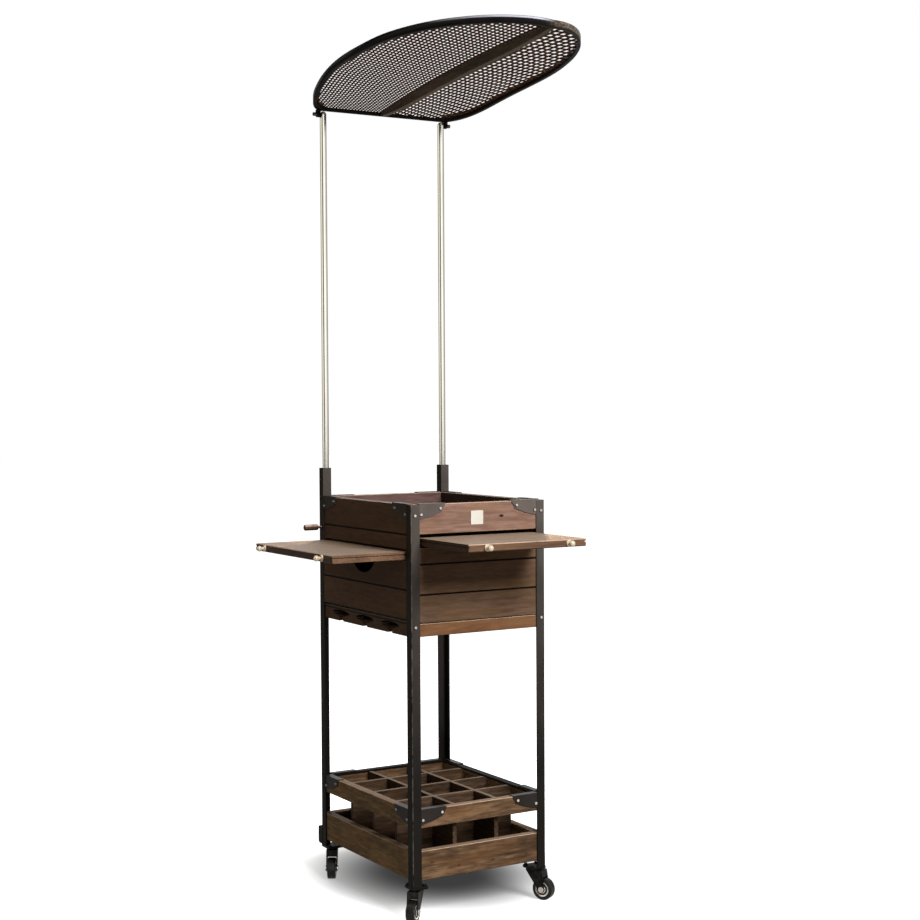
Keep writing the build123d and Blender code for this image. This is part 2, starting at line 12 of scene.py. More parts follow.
import bpy
import numpy as np
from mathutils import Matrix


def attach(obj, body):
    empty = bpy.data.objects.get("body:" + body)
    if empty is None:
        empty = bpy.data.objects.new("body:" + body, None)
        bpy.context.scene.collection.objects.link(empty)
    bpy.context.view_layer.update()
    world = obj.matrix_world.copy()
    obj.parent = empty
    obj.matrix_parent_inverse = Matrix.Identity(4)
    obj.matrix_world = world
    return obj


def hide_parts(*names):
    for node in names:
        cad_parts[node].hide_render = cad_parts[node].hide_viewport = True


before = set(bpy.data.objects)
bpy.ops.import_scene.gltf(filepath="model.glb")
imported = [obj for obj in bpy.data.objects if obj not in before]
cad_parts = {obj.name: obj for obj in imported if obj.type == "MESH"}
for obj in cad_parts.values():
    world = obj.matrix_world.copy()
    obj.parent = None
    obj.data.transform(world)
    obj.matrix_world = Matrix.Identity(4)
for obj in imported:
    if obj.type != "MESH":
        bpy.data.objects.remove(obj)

log = logging.getLogger("bar_cart")

Colour = tuple[float, float, float]
Triple = tuple[float, float, float]
Socket = bpy.types.NodeSocket
Feed = Socket | float | Triple
Stops = tuple[tuple[float, Colour], ...]

UPWARD: Triple = (0.0, 0.0, 1.0)
PLAIN: Colour = (1.0, 1.0, 1.0)


def linear(red: int, green: int, blue: int) -> Colour:
    """Turn a colour chart's 0 to 255 values into linear light.

    Args:
        red: red of the chart colour.
        green: green of the chart colour.
        blue: blue of the chart colour.

    Returns:
        The three values in linear light, 0 to 1.
    """
    shares = np.array((red, green, blue)) / 255.0
    light = np.where(shares <= 0.04045, shares / 12.92, ((shares + 0.055) / 1.055) ** 2.4)
    return float(light[0]), float(light[1]), float(light[2])


def set_stops(ramp: bpy.types.ColorRamp, stops: Stops) -> None:
    """Put a row of colours on a ramp.

    Args:
        ramp: the ramp.
        stops: place and colour of each stop, in order.
    """
    while len(ramp.elements) < len(stops):
        ramp.elements.new(1.0)
    for element, (place, colour) in zip(ramp.elements, stops):
        element.position = place
        element.color = (*colour, 1.0)


class Grain(Enum):
    """Direction in which the fibres of a wooden piece run."""

    ALONG_X = "along x"
    ALONG_Y = "along y"
    ROUND_THE_BOX = "along x at the front and rear, along y at the sides"


@dataclass(frozen=True)
class Pattern:
    """Soft random pattern: patches per metre in each direction, and how many finer layers it has."""

    scale: Triple
    detail: float = 3.0


# Span that holds most of a soft pattern's values
MOST = (0.3, 0.7)


class ShaderGraph:
    """One material's nodes, with short calls to add and wire them."""

    def __init__(self, name: str) -> None:
        """Start a material with one surface shader.

        Args:
            name: the material's name.
        """
        self.material = bpy.data.materials.new(name)
        self.material.use_nodes = True
        self.nodes = self.material.node_tree.nodes
        self.links = self.material.node_tree.links
        self.nodes.clear()
        self.shader = self.nodes.new("ShaderNodeBsdfPrincipled")
        output = self.nodes.new("ShaderNodeOutputMaterial")
        self.links.new(self.shader.outputs["BSDF"], output.inputs["Surface"])
        spot = self.nodes.new("ShaderNodeTexCoord")
        self.place = spot.outputs["Object"]
        self.facing = spot.outputs["Normal"]
        self.own_map = spot.outputs["UV"]

    def feed(self, socket: Socket, value: Feed) -> None:
        """Wire a socket to another one, or set it to a plain value.

        Args:
            socket: the socket that takes the value.
            value: an output socket, a number or a colour.
        """
        if isinstance(value, bpy.types.NodeSocket):
            self.links.new(value, socket)
        elif isinstance(value, tuple) and socket.type == "RGBA":
            socket.default_value = (*value, 1.0)
        else:
            socket.default_value = value

    def surface(self, **values: Feed) -> None:
        """Set sockets of the surface shader, named with underscores for spaces.

        Args:
            values: the value or output socket for each shader socket.
        """
        for words, value in values.items():
            self.feed(self.shader.inputs[words.replace("_", " ")], value)

    def maths(self, operation: str, first: Feed, second: Feed = 0.0, clamp: bool = False) -> Socket:
        """Add one sum on two numbers.

        Args:
            operation: the sum's name in the shader editor.
            first: first number.
            second: second number.
            clamp: keep the result from 0 to 1.

        Returns:
            The result's socket.
        """
        node = self.nodes.new("ShaderNodeMath")
        node.operation = operation
        node.use_clamp = clamp
        self.feed(node.inputs[0], first)
        self.feed(node.inputs[1], second)
        return node.outputs[0]

    def times(self, first: Feed, *others: Feed) -> Socket:
        """Multiply numbers.

        Args:
            first: first number.
            others: the other numbers.

        Returns:
            The product's socket.
        """
        product = first
        for other in others:
            product = self.maths("MULTIPLY", product, other)
        return product

    def split(self, vector: Socket) -> tuple[Socket, Socket, Socket]:
        """Give the three parts of a vector.

        Args:
            vector: the vector's socket.

        Returns:
            The sockets of its x, y and z.
        """
        node = self.nodes.new("ShaderNodeSeparateXYZ")
        self.links.new(vector, node.inputs[0])
        return node.outputs[0], node.outputs[1], node.outputs[2]

    def join(self, x: Feed, y: Feed, z: Feed) -> Socket:
        """Make a vector of three numbers.

        Args:
            x: first number.
            y: second number.
            z: third number.

        Returns:
            The vector's socket.
        """
        node = self.nodes.new("ShaderNodeCombineXYZ")
        for socket, value in zip(node.inputs, (x, y, z)):
            self.feed(socket, value)
        return node.outputs[0]

    def length(self, x: Feed, y: Feed, z: Feed = 0.0) -> Socket:
        """Measure a vector: the root of the sum of its parts' squares.

        Args:
            x: first part.
            y: second part.
            z: third part.

        Returns:
            The length's socket.
        """
        node = self.nodes.new("ShaderNodeVectorMath")
        node.operation = "LENGTH"
        self.links.new(self.join(x, y, z), node.inputs[0])
        return node.outputs["Value"]

    def spread(
        self, value: Feed, low: float, high: float, to_low: float = 0.0, to_high: float = 1.0
    ) -> Socket:
        """Stretch a span of numbers onto another span, held at both ends.

        Args:
            value: the number to stretch.
            low: start of its span.
            high: end of its span.
            to_low: what the start becomes.
            to_high: what the end becomes.

        Returns:
            The stretched number's socket.
        """
        node = self.nodes.new("ShaderNodeMapRange")
        for socket, number in zip(node.inputs, (value, low, high, to_low, to_high)):
            self.feed(socket, number)
        return node.outputs[0]

    def noise(self, vector: Socket, kind: Pattern, shift: Triple = (0.0, 0.0, 0.0)) -> Socket:
        """Add a soft random pattern, from 0 to 1.

        Args:
            vector: where on the piece the pattern is read.
            kind: the pattern's scale and detail.
            shift: where the pattern starts.

        Returns:
            The pattern's socket.
        """
        mapping = self.nodes.new("ShaderNodeMapping")
        self.links.new(vector, mapping.inputs["Vector"])
        mapping.inputs["Scale"].default_value = kind.scale
        mapping.inputs["Location"].default_value = shift
        pattern = self.nodes.new("ShaderNodeTexNoise")
        self.links.new(mapping.outputs[0], pattern.inputs["Vector"])
        pattern.inputs["Scale"].default_value = 1.0
        pattern.inputs["Detail"].default_value = kind.detail
        return pattern.outputs[0]

    def ramp(self, value: Socket, stops: Stops, stepped: bool = False) -> Socket:
        """Turn a number into a colour by a row of stops.

        Args:
            value: the number, 0 to 1.
            stops: place and colour of each stop.
            stepped: hold each colour up to the next stop.

        Returns:
            The colour's socket.
        """
        node = self.nodes.new("ShaderNodeValToRGB")
        node.color_ramp.interpolation = "CONSTANT" if stepped else "LINEAR"
        set_stops(node.color_ramp, stops)
        self.links.new(value, node.inputs[0])
        return node.outputs[0]

    def mix(self, share: Feed, first: Feed, second: Feed, way: str = "MIX") -> Socket:
        """Blend two colours.

        Args:
            share: how much of the second shows.
            first: colour below.
            second: colour above.
            way: the blend's name in the shader editor.

        Returns:
            The blended colour's socket.
        """
        node = self.nodes.new("ShaderNodeMix")
        node.data_type = "RGBA"
        node.blend_type = way
        self.feed(node.inputs[0], share)
        self.feed(node.inputs[6], first)
        self.feed(node.inputs[7], second)
        return node.outputs[2]

    def bump(self, height: Socket, depth: float, strength: float = 0.6) -> None:
        """Raise the surface by a pattern.

        Args:
            height: the pattern, 0 to 1.
            depth: its depth in metres.
            strength: how much of it shows.
        """
        node = self.nodes.new("ShaderNodeBump")
        node.inputs["Strength"].default_value = strength
        node.inputs["Distance"].default_value = depth
        self.links.new(height, node.inputs["Height"])
        self.surface(Normal=node.outputs[0])

    def eased_edges(self) -> Socket:
        """Find the eased edges of a squared piece, where the surface faces none of the three axes.

        Returns:
            A socket that is 1 on a bevel or rounded edge and 0 on the flat faces.
        """
        parts = [self.maths("ABSOLUTE", part) for part in self.split(self.facing)]
        largest = self.maths("MAXIMUM", self.maths("MAXIMUM", parts[0], parts[1]), parts[2])
        return self.spread(largest, 0.985, 0.86)


# Dark colour of old oil in joints and knots, also used as painted shade under lower bevels and in the hand
# hold's cut face, and for the darker band on the rack rails
OIL_AND_SHADE = linear(16, 10, 7)

# Half distances between the inner faces of planks and rails, across and along, and room about a face
INNER_FACES = (0.153, 0.203)
FACE_ROOM = 0.0002


@dataclass(frozen=True)
class WoodFinish:
    """Oiled old timber: straight grain, fine fibres, pores and a tone for each plank, with pale upper edges
    that are partly wear and partly painted highlight, and painted shade by height, by facing and inside the
    box.
    """

    name: str
    dark: Colour
    middle: Colour
    pale: Colour
    worn_and_highlight: Colour
    grain: Grain = Grain.ALONG_X
    roughness: float = 0.58
    gloss: float = 0.12
    edge_wear_and_highlight: float = 0.7
    top_wear_and_highlight: float = 0.2
    streaks: float = 0.04
    mottle: float = 0.3
    figured: float = 0.16
    # Painted shade on upright faces, on faces that look along x (painted light where above 1) and on faces
    # inside the box
    side_shade: Colour = PLAIN
    flank_shade: Colour = PLAIN
    blush: Colour = (0.0, 0.0, 0.0)
    blush_share: float = 0.0
    inside_shade: Colour = PLAIN
    knots: tuple[Triple, ...] = ()
    knot_reach: float = 0.0042
    knot_share: float = 1.0
    hand_hold: Triple | None = None
    hold_shade_span: tuple[float, float] = (0.0004, 0.0016)
    dark_above: float | None = None
    # Painted shade by height: a tint that holds from each height up to the next
    levels: Stops = ()
    joints: tuple[float, ...] = ()
    joint_half: tuple[float, float] = (0.0016, 0.0027)
    shift: float = 0.0
    clouds: Pattern = Pattern((3.4, 17.0, 17.0), 4.0)
    figure: Pattern = Pattern((26.0, 150.0, 150.0))
    fibres: Pattern = Pattern((9.0, 360.0, 360.0))
    fibre_tone: float = 0.16
    pores: Pattern = Pattern((34.0, 900.0, 900.0), 1.0)
    pore_share: float = 0.3
    patches: Pattern = Pattern((7.0, 26.0, 26.0))
    scuffs: Pattern = Pattern((60.0, 60.0, 60.0))
    under_edge_shade: float = 0.8
    ring_bends: Pattern = Pattern((1.3, 6.0, 6.0), 2.0)
    ring_bend: float = 34.0
    ring_turn: float = 520.0
    ring_slant: float = 0.83
    relief_depth: float = 0.0004

    @property
    def start(self) -> Triple:
        """Where this timber's patterns start."""
        return self.shift, 0.37 * self.shift, 0.71 * self.shift

    def fibre_place(self, graph: ShaderGraph) -> Socket:
        """Turn the piece's place so that its fibres run along the first axis.

        Args:
            graph: the material being made.

        Returns:
            The turned place's socket.
        """
        x, y, z = graph.split(graph.place)
        if self.grain is Grain.ALONG_X:
            return graph.join(x, y, z)
        if self.grain is Grain.ALONG_Y:
            return graph.join(y, x, z)
        inside = graph.maths("LESS_THAN", graph.maths("ABSOLUTE", y), INNER_FACES[1] + FACE_ROOM)
        outside = graph.maths("GREATER_THAN", graph.maths("ABSOLUTE", x), INNER_FACES[0] - FACE_ROOM)
        return graph.mix(graph.times(inside, outside), graph.join(x, y, z), graph.join(y, x, z))

    def grain_lines(self, graph: ShaderGraph, place: Socket) -> Socket:
        """Draw the growth rings as they show on a sawn face.

        The rings are the sine of the distance across the fibres, bent by a soft pattern that is drawn out
        along them, so the lines run nearly straight and close up and open out slowly.

        Args:
            graph: the material being made.
            place: the turned place.

        Returns:
            The lines' socket, from 0 to 1.
        """
        _, second, third = graph.split(place)
        across = graph.maths("ADD", second, graph.times(third, self.ring_slant))
        bend = graph.times(graph.noise(place, self.ring_bends, self.start), self.ring_bend)
        turn = graph.maths("ADD", graph.times(across, self.ring_turn), bend)
        return graph.spread(graph.maths("SINE", turn), -1.0, 1.0)

    def joint_dirt(self, graph: ShaderGraph) -> Socket:
        """Find the dark lines of old oil where planks meet.

        A line's strength falls from 1 to 0 with the height above or below its joint.

        Args:
            graph: the material being made.

        Returns:
            The lines' socket, from 0 to 1.
        """
        height = graph.split(graph.place)[2]
        dirt: Feed = 0.0
        for joint in self.joints:
            away = graph.maths("ABSOLUTE", graph.maths("SUBTRACT", height, joint))
            dirt = graph.maths("MAXIMUM", graph.spread(away, *self.joint_half, 1.0, 0.0), dirt)
        return dirt

    def knot_marks(self, graph: ShaderGraph) -> Socket:
        """Find the small dark knots, each twice as long as tall.

        A knot's strength falls from 1 to 0 with the distance from its middle, halved along x.

        Args:
            graph: the material being made.

        Returns:
            The knots' socket, from 0 to 1.
        """
        place = graph.split(graph.place)
        marks: Feed = 0.0
        for knot in self.knots:
            x, y, z = (graph.maths("SUBTRACT", part, middle) for part, middle in zip(place, knot))
            away = graph.length(graph.times(x, 0.5), y, z)
            mark = graph.spread(away, 0.4 * self.knot_reach, self.knot_reach, self.knot_share, 0.0)
            marks = graph.maths("MAXIMUM", mark, marks)
        return marks

    def hold_shade(self, graph: ShaderGraph) -> Socket:
        """Find the cut face of a round hand hold, where shade is painted, by its distance from the hold's
        axis along x.

        Args:
            graph: the material being made.

        Returns:
            A socket that is 1 on the cut face and 0 away from it.
        """
        y, z, radius = self.hand_hold
        _, along, high = graph.split(graph.place)
        away = graph.length(0.0, graph.maths("SUBTRACT", along, y), graph.maths("SUBTRACT", high, z))
        return graph.spread(away, radius + self.hold_shade_span[0], radius + self.hold_shade_span[1], 1.0, 0.0)

    def dark_band(self, graph: ShaderGraph) -> Socket:
        """Find the dark band along the top of the rear and right-hand rails.

        Args:
            graph: the material being made.

        Returns:
            A socket that is 1 in the band and 0 elsewhere.
        """
        x, y, z = graph.split(graph.place)
        right = graph.maths("GREATER_THAN", x, INNER_FACES[0] - FACE_ROOM)
        right = graph.times(right, graph.maths("GREATER_THAN", y, -INNER_FACES[1]))
        rear = graph.maths("GREATER_THAN", y, INNER_FACES[1] - FACE_ROOM)
        above = graph.maths("GREATER_THAN", z, self.dark_above)
        return graph.times(graph.maths("MAXIMUM", right, rear), above)

    def timber(self, graph: ShaderGraph, place: Socket, fibres: Socket, lines: Socket) -> Socket:
        """Mix the bare timber, whose tone adds broad clouds, short figure, growth rings and fibres.

        Args:
            graph: the material being made.
            place: the turned place.
            fibres: the fine fibres.
            lines: the growth rings.

        Returns:
            The colour's socket.
        """
        clouds = graph.noise(place, self.clouds, self.start)
        figure = graph.noise(place, self.figure, self.start)
        tone = graph.spread(clouds, 0.25, 0.75, 0.5 - self.mottle, 0.5 + self.mottle)
        tone = graph.maths("ADD", tone, graph.spread(figure, *MOST, -self.figured, self.figured))
        tone = graph.maths("ADD", tone, graph.spread(lines, 0.0, 1.0, -self.streaks, self.streaks))
        fine = graph.spread(fibres, *MOST, -self.fibre_tone, self.fibre_tone)
        tone = graph.maths("ADD", tone, fine, clamp=True)
        return graph.ramp(tone, ((0.05, self.dark), (0.5, self.middle), (0.95, self.pale)))

    def shaded(self, graph: ShaderGraph, colour: Socket) -> Socket:
        """Paint shade and light on the timber by its height, by the way a face looks and by whether it looks
        into the box.

        Args:
            graph: the material being made.
            colour: the colour so far.

        Returns:
            The toned colour's socket.
        """
        x, y, height = graph.split(graph.place)
        sideways, _, upward = graph.split(graph.facing)
        # Painted shade by height, such as a board's shadow on the planks below it
        if self.levels:
            colour = graph.mix(1.0, colour, graph.ramp(height, self.levels, stepped=True), "MULTIPLY")
        upright = graph.spread(graph.maths("ABSOLUTE", upward), 0.6, 0.4)
        flank = graph.spread(graph.maths("ABSOLUTE", sideways), 0.4, 0.6)
        # Painted shade on upright faces and on faces that look along x; above 1 it is painted light
        colour = graph.mix(upright, colour, self.side_shade, "MULTIPLY")
        colour = graph.mix(flank, colour, self.flank_shade, "MULTIPLY")
        # Painted shade on the faces that look into the box
        if self.inside_shade != PLAIN:
            across = graph.maths("LESS_THAN", graph.maths("ABSOLUTE", x), INNER_FACES[0] + FACE_ROOM)
            along = graph.maths("LESS_THAN", graph.maths("ABSOLUTE", y), INNER_FACES[1] + FACE_ROOM)
            colour = graph.mix(graph.times(across, along), colour, self.inside_shade, "MULTIPLY")
        return colour

    def wear_and_painted_light(self, graph: ShaderGraph, colour: Socket) -> Socket:
        """Paint the upward bevels pale, as wear and painted highlight, and paint shade under the lower ones;
        add dark joints and knots, painted shade in the hand hold's cut face and the darker band on the rack
        rails.

        Args:
            graph: the material being made.
            colour: the colour so far.

        Returns:
            The aged colour's socket.
        """
        upward = graph.split(graph.facing)[2]
        scuffs = graph.spread(graph.noise(graph.place, self.scuffs), 0.25, 0.5, 0.35, 1.0)
        edges = graph.eased_edges()
        upper = graph.times(edges, scuffs, graph.spread(upward, 0.1, 0.5), self.edge_wear_and_highlight)
        # Bevels that face down get painted shade
        under = graph.times(edges, graph.spread(upward, -0.1, -0.5), self.under_edge_shade)
        # Top faces and upward bevels are painted paler: partly wear, partly painted highlight where light
        # falls on them
        colour = graph.mix(graph.spread(upward, 0.9, 0.99, 0.0, self.top_wear_and_highlight), colour, self.worn_and_highlight)
        colour = graph.mix(upper, colour, self.worn_and_highlight)
        colour = graph.mix(under, colour, OIL_AND_SHADE)
        if self.joints:
            colour = graph.mix(self.joint_dirt(graph), colour, OIL_AND_SHADE)
        if self.knots:
            colour = graph.mix(self.knot_marks(graph), colour, OIL_AND_SHADE)
        # Painted shade on the cut face of the hand hold
        if self.hand_hold is not None:
            colour = graph.mix(self.hold_shade(graph), colour, OIL_AND_SHADE)
        # Darker band along the top of the rear and right-hand rails
        if self.dark_above is not None:
            colour = graph.mix(self.dark_band(graph), colour, OIL_AND_SHADE)
        return colour

    def material(self) -> bpy.types.Material:
        """Make the material.

        Returns:
            The finished material.
        """
        graph = ShaderGraph(self.name)
        place = self.fibre_place(graph)
        fibres = graph.noise(place, self.fibres, self.start)
        pores = graph.spread(graph.noise(place, self.pores, self.start), 0.62, 0.7)
        lines = self.grain_lines(graph, place)
        colour = self.timber(graph, place, fibres, lines)
        colour = graph.mix(graph.times(pores, self.pore_share), colour, self.dark)
        if self.blush_share > 0.0:
            back, *sides = self.start
            patches = graph.noise(place, self.patches, (-back, *sides))
            patches = graph.spread(patches, 0.45, 0.7, 0.0, self.blush_share)
            colour = graph.mix(patches, colour, self.blush)
        colour = self.wear_and_painted_light(graph, self.shaded(graph, colour))
        graph.surface(Base_Color=colour, Specular_IOR_Level=self.gloss)
        rough = graph.spread(fibres, 0.25, 0.75, self.roughness - 0.1, self.roughness + 0.12)
        graph.surface(Roughness=rough)
        relief = graph.maths("ADD", fibres, graph.times(lines, 0.25))
        graph.bump(graph.maths("SUBTRACT", relief, pores), self.relief_depth, 0.5)
        return graph.material


@dataclass(frozen=True)
class MetalFinish:
    """Painted, brushed or polished metal.

    It has faint clouding, hairlines and eased edges painted brighter, partly as wear and partly as a painted
    highlight. Painted shade can darken its foot, its flanks and the rounded shoulders of small heads.
    """

    name: str
    colour: Colour
    clouded: Colour
    edge: Colour
    metallic: float
    roughness: float
    gloss: float = 0.5
    hairlines: Triple = (40.0, 40.0, 40.0)
    hairline_depth: float = 0.00004
    edge_share: float = 0.5
    edge_from: float = -2.0
    low_shade: float = 1.0
    low_span: tuple[float, float] = (0.3, 0.95)
    flank_shade: Colour = PLAIN
    shoulder_shade: float = 1.0
    clouds: Pattern = Pattern((16.0, 16.0, 11.0), 4.0)
    scuffs: Pattern = Pattern((90.0, 90.0, 60.0))

    def material(self) -> bpy.types.Material:
        """Make the material.

        Returns:
            The finished material.
        """
        graph = ShaderGraph(self.name)
        clouds = graph.noise(graph.place, self.clouds)
        lines = graph.noise(graph.place, Pattern(self.hairlines))
        scuffs = graph.noise(graph.place, self.scuffs)
        height = graph.split(graph.place)[2]
        sideways, forward, upward = graph.split(graph.facing)
        sideways = graph.maths("ABSOLUTE", sideways)
        colour = graph.mix(graph.spread(clouds, *MOST), self.colour, self.clouded)
        # Painted shade on faces that look along x
        colour = graph.mix(graph.spread(sideways, 0.6, 0.9), colour, self.flank_shade, "MULTIPLY")
        # Painted shade towards the foot
        shade = graph.spread(height, *self.low_span, self.low_shade, 1.0)
        # Painted shade on the rounded shoulders of small heads, leaving a bright middle
        if self.shoulder_shade < 1.0:
            square = graph.maths("MAXIMUM", sideways, graph.maths("ABSOLUTE", forward))
            shade = graph.times(shade, graph.spread(square, 0.85, 0.98, self.shoulder_shade, 1.0))
        colour = graph.mix(1.0, colour, graph.join(shade, shade, shade), "MULTIPLY")
        # Eased edges painted brighter: partly wear, partly painted highlight; edge_from keeps it to edges
        # that face upward enough
        edges = graph.times(graph.eased_edges(), graph.spread(scuffs, 0.36, 0.6), self.edge_share)
        edges = graph.times(edges, graph.maths("GREATER_THAN", upward, self.edge_from))
        colour = graph.mix(edges, colour, self.edge)
        rough = graph.spread(lines, *MOST, self.roughness * 0.8, self.roughness * 1.25)
        graph.surface(Base_Color=colour, Roughness=rough)
        graph.surface(Metallic=self.metallic, Specular_IOR_Level=self.gloss)
        if self.hairline_depth > 0.0:
            graph.bump(lines, self.hairline_depth, 0.4)
        return graph.material


@dataclass(frozen=True)
class RimFinish:
    """Black band of the canopy's rim, rounded across.

    By the tip it has a painted highlight along its upper edge on the left and painted light, a mottled brown,
    on the right.
    """

    name: str
    black: Colour
    faded: Colour
    # The colour named bare is a painted highlight; the next colour is painted light
    bare: Colour
    painted_light: Colour
    roughness: float
    gloss: float
    half_tall: float = 0.008
    round_depth: float = 0.003
    highlight_reach: tuple[float, float] = (0.54, 0.68)
    highlight_across: tuple[float, float] = (0.006, -0.03)
    painted_light_reach: tuple[float, float] = (0.5, 0.66)
    painted_light_across: tuple[float, float] = (-0.02, 0.03)
    clouds: Pattern = Pattern((26.0, 26.0, 90.0), 4.0)
    light_mottle: Pattern = Pattern((120.0, 120.0, 260.0), 4.0)

    def material(self, canopy: "Canopy") -> bpy.types.Material:
        """Make the material.

        The band's own height runs from -1 to 1 between its edges, and the bump is 1 minus its square.

        Args:
            canopy: the canopy, for the level of the rim's middle.

        Returns:
            The finished material.
        """
        graph = ShaderGraph(self.name)
        x, reach, above = canopy.rim_place(graph)
        high = graph.maths("DIVIDE", above, self.half_tall)
        clouds = graph.noise(graph.place, self.clouds)
        colour = graph.mix(graph.spread(clouds, 0.35, 0.7), self.black, self.faded)
        # Painted highlight along the upper edge of the left half near the tip
        highlight_strip = graph.times(graph.spread(high, 0.35, 0.62), graph.spread(high, 1.0, 0.8))
        left = graph.times(graph.spread(x, *self.highlight_across), graph.spread(reach, *self.highlight_reach))
        colour = graph.mix(graph.times(highlight_strip, left), colour, self.bare)
        # Painted light, a mottled brown, on the right half near the tip, except along its lower edge
        light_mottle = graph.spread(graph.noise(graph.place, self.light_mottle), 0.32, 0.62)
        right = graph.times(graph.spread(x, *self.painted_light_across), graph.spread(reach, *self.painted_light_reach))
        painted_light = graph.times(right, light_mottle, graph.spread(high, -0.9, -0.3))
        colour = graph.mix(painted_light, colour, self.painted_light)
        graph.surface(Base_Color=colour, Specular_IOR_Level=self.gloss)
        rough = graph.spread(clouds, *MOST, self.roughness - 0.06, self.roughness + 0.08)
        graph.surface(Roughness=rough)
        graph.bump(graph.maths("SUBTRACT", 1.0, graph.times(high, high)), self.round_depth, 1.0)
        return graph.material


@dataclass(frozen=True)
class RubberFinish:
    """Moulded rubber with a fine skin and dust in patches."""

    name: str
    colour: Colour
    dusty: Colour
    roughness: float
    gloss: float = 0.4
    skin: Pattern = Pattern((1400.0, 1400.0, 1400.0), 2.0)
    skin_depth: float = 0.00012
    dust: Pattern = Pattern((55.0, 55.0, 55.0), 4.0)

    def material(self) -> bpy.types.Material:
        """Make the material.

        Returns:
            The finished material.
        """
        graph = ShaderGraph(self.name)
        dust = graph.spread(graph.noise(graph.place, self.dust), 0.45, 0.8)
        rough = graph.spread(dust, 0.0, 1.0, self.roughness, self.roughness + 0.25)
        graph.surface(Base_Color=graph.mix(dust, self.colour, self.dusty))
        graph.surface(Roughness=rough, Specular_IOR_Level=self.gloss)
        graph.bump(graph.noise(graph.place, self.skin), self.skin_depth, 0.5)
        return graph.material


@dataclass(frozen=True)
class DiscFinish:
    """Bright rings turned in a black wheel disc, told apart by the distance from the axle."""

    name: str
    bright: Colour
    clouded: Colour
    black: Colour
    rings: tuple[tuple[float, float], ...]
    soften: float = 0.0003
    clouds: Pattern = Pattern((160.0, 160.0, 160.0))

    def material(self) -> bpy.types.Material:
        """Make the material from the disc's own map, whose first axis is the distance from the axle.

        Returns:
            The finished material.
        """
        graph = ShaderGraph(self.name)
        radius = graph.split(graph.own_map)[0]
        shine: Feed = 0.0
        for inner, outer in self.rings:
            after = graph.spread(radius, inner - self.soften, inner + self.soften)
            before = graph.spread(radius, outer + self.soften, outer - self.soften)
            shine = graph.maths("MAXIMUM", graph.times(after, before), shine)
        clouds = graph.spread(graph.noise(graph.place, self.clouds), *MOST)
        bright = graph.mix(clouds, self.bright, self.clouded)
        graph.surface(Base_Color=graph.mix(shine, self.black, bright))
        graph.surface(Metallic=0.1, Roughness=graph.spread(clouds, 0.0, 1.0, 0.14, 0.24))
        return graph.material


@dataclass(frozen=True)
class StrandFinish:
    """Flat woven strands: fibres that run along each strand, with darker and browner lengths."""

    name: str
    dark: Colour
    brown: Colour
    roughness: float
    gloss: float = 0.06
    fibres: Pattern = Pattern((40.0, 9.0, 1.0))
    fibre_depth: float = 0.0002
    lengths: Pattern = Pattern((9.0, 0.6, 1.0), 2.0)

    def material(self) -> bpy.types.Material:
        """Make the material from the strand's own map, whose first axis runs along it.

        Returns:
            The finished material.
        """
        graph = ShaderGraph(self.name)
        fibres = graph.noise(graph.own_map, self.fibres)
        lengths = graph.noise(graph.own_map, self.lengths)
        tone = graph.spread(fibres, *MOST, 0.0, 0.55)
        tone = graph.maths("ADD", tone, graph.spread(lengths, 0.35, 0.65, 0.0, 0.45))
        rough = graph.spread(fibres, *MOST, self.roughness - 0.08, self.roughness + 0.1)
        graph.surface(Base_Color=graph.mix(tone, self.dark, self.brown))
        graph.surface(Roughness=rough, Specular_IOR_Level=self.gloss)
        graph.bump(fibres, self.fibre_depth, 0.5)
        return graph.material


WALNUT = WoodFinish(
    name="walnut_along_x",
    dark=linear(84, 62, 52),
    middle=linear(112, 87, 76),
    pale=linear(138, 110, 98),
    worn_and_highlight=linear(206, 182, 162),
    # Painted shadow of the front board on the front panel: the planks between 0.657 m and 0.854 m are
    # darkened
    levels=(
        (0.0, PLAIN),
        (0.6572, (0.62, 0.63, 0.54)),
        (0.7212, (0.66, 0.66, 0.55)),
        (0.7882, (0.6, 0.6, 0.48)),
        (0.8535, PLAIN),
    ),
    joints=(0.6575, 0.721, 0.788),
    blush=linear(128, 98, 70),
    blush_share=0.4,
    knots=((0.0606, -0.222, 0.8876),),
)
# Darker copy of the walnut for the tray's rear plank and deck: painted shade inside the tray
WALNUT_SHADED = replace(
    WALNUT,
    name="walnut_inside_shaded",
    dark=linear(58, 43, 41),
    middle=linear(78, 60, 57),
    pale=linear(98, 78, 74),
    blush_share=0.0,
    levels=(),
    knots=(),
    shift=2.3,
)
WALNUT_SIDE = replace(
    WALNUT,
    name="walnut_along_y",
    dark=linear(66, 46, 32),
    middle=linear(88, 64, 46),
    pale=linear(108, 82, 62),
    worn_and_highlight=linear(186, 174, 164),
    grain=Grain.ALONG_Y,
    edge_wear_and_highlight=0.85,
    top_wear_and_highlight=0.32,
    shift=3.1,
    levels=(),
    joints=(0.6575, 0.721, 0.788, 0.8535),
    blush=linear(96, 70, 40),
    # Painted shade on the faces inside the tray and box
    inside_shade=(0.3, 0.28, 0.3),
    knots=(),
)
WALNUT_RAILS = replace(
    WALNUT,
    name="walnut_rails",
    dark=linear(70, 44, 27),
    middle=linear(102, 70, 48),
    pale=linear(130, 94, 66),
    grain=Grain.ROUND_THE_BOX,
    shift=5.3,
    levels=(),
    joints=(),
    knots=(),
)
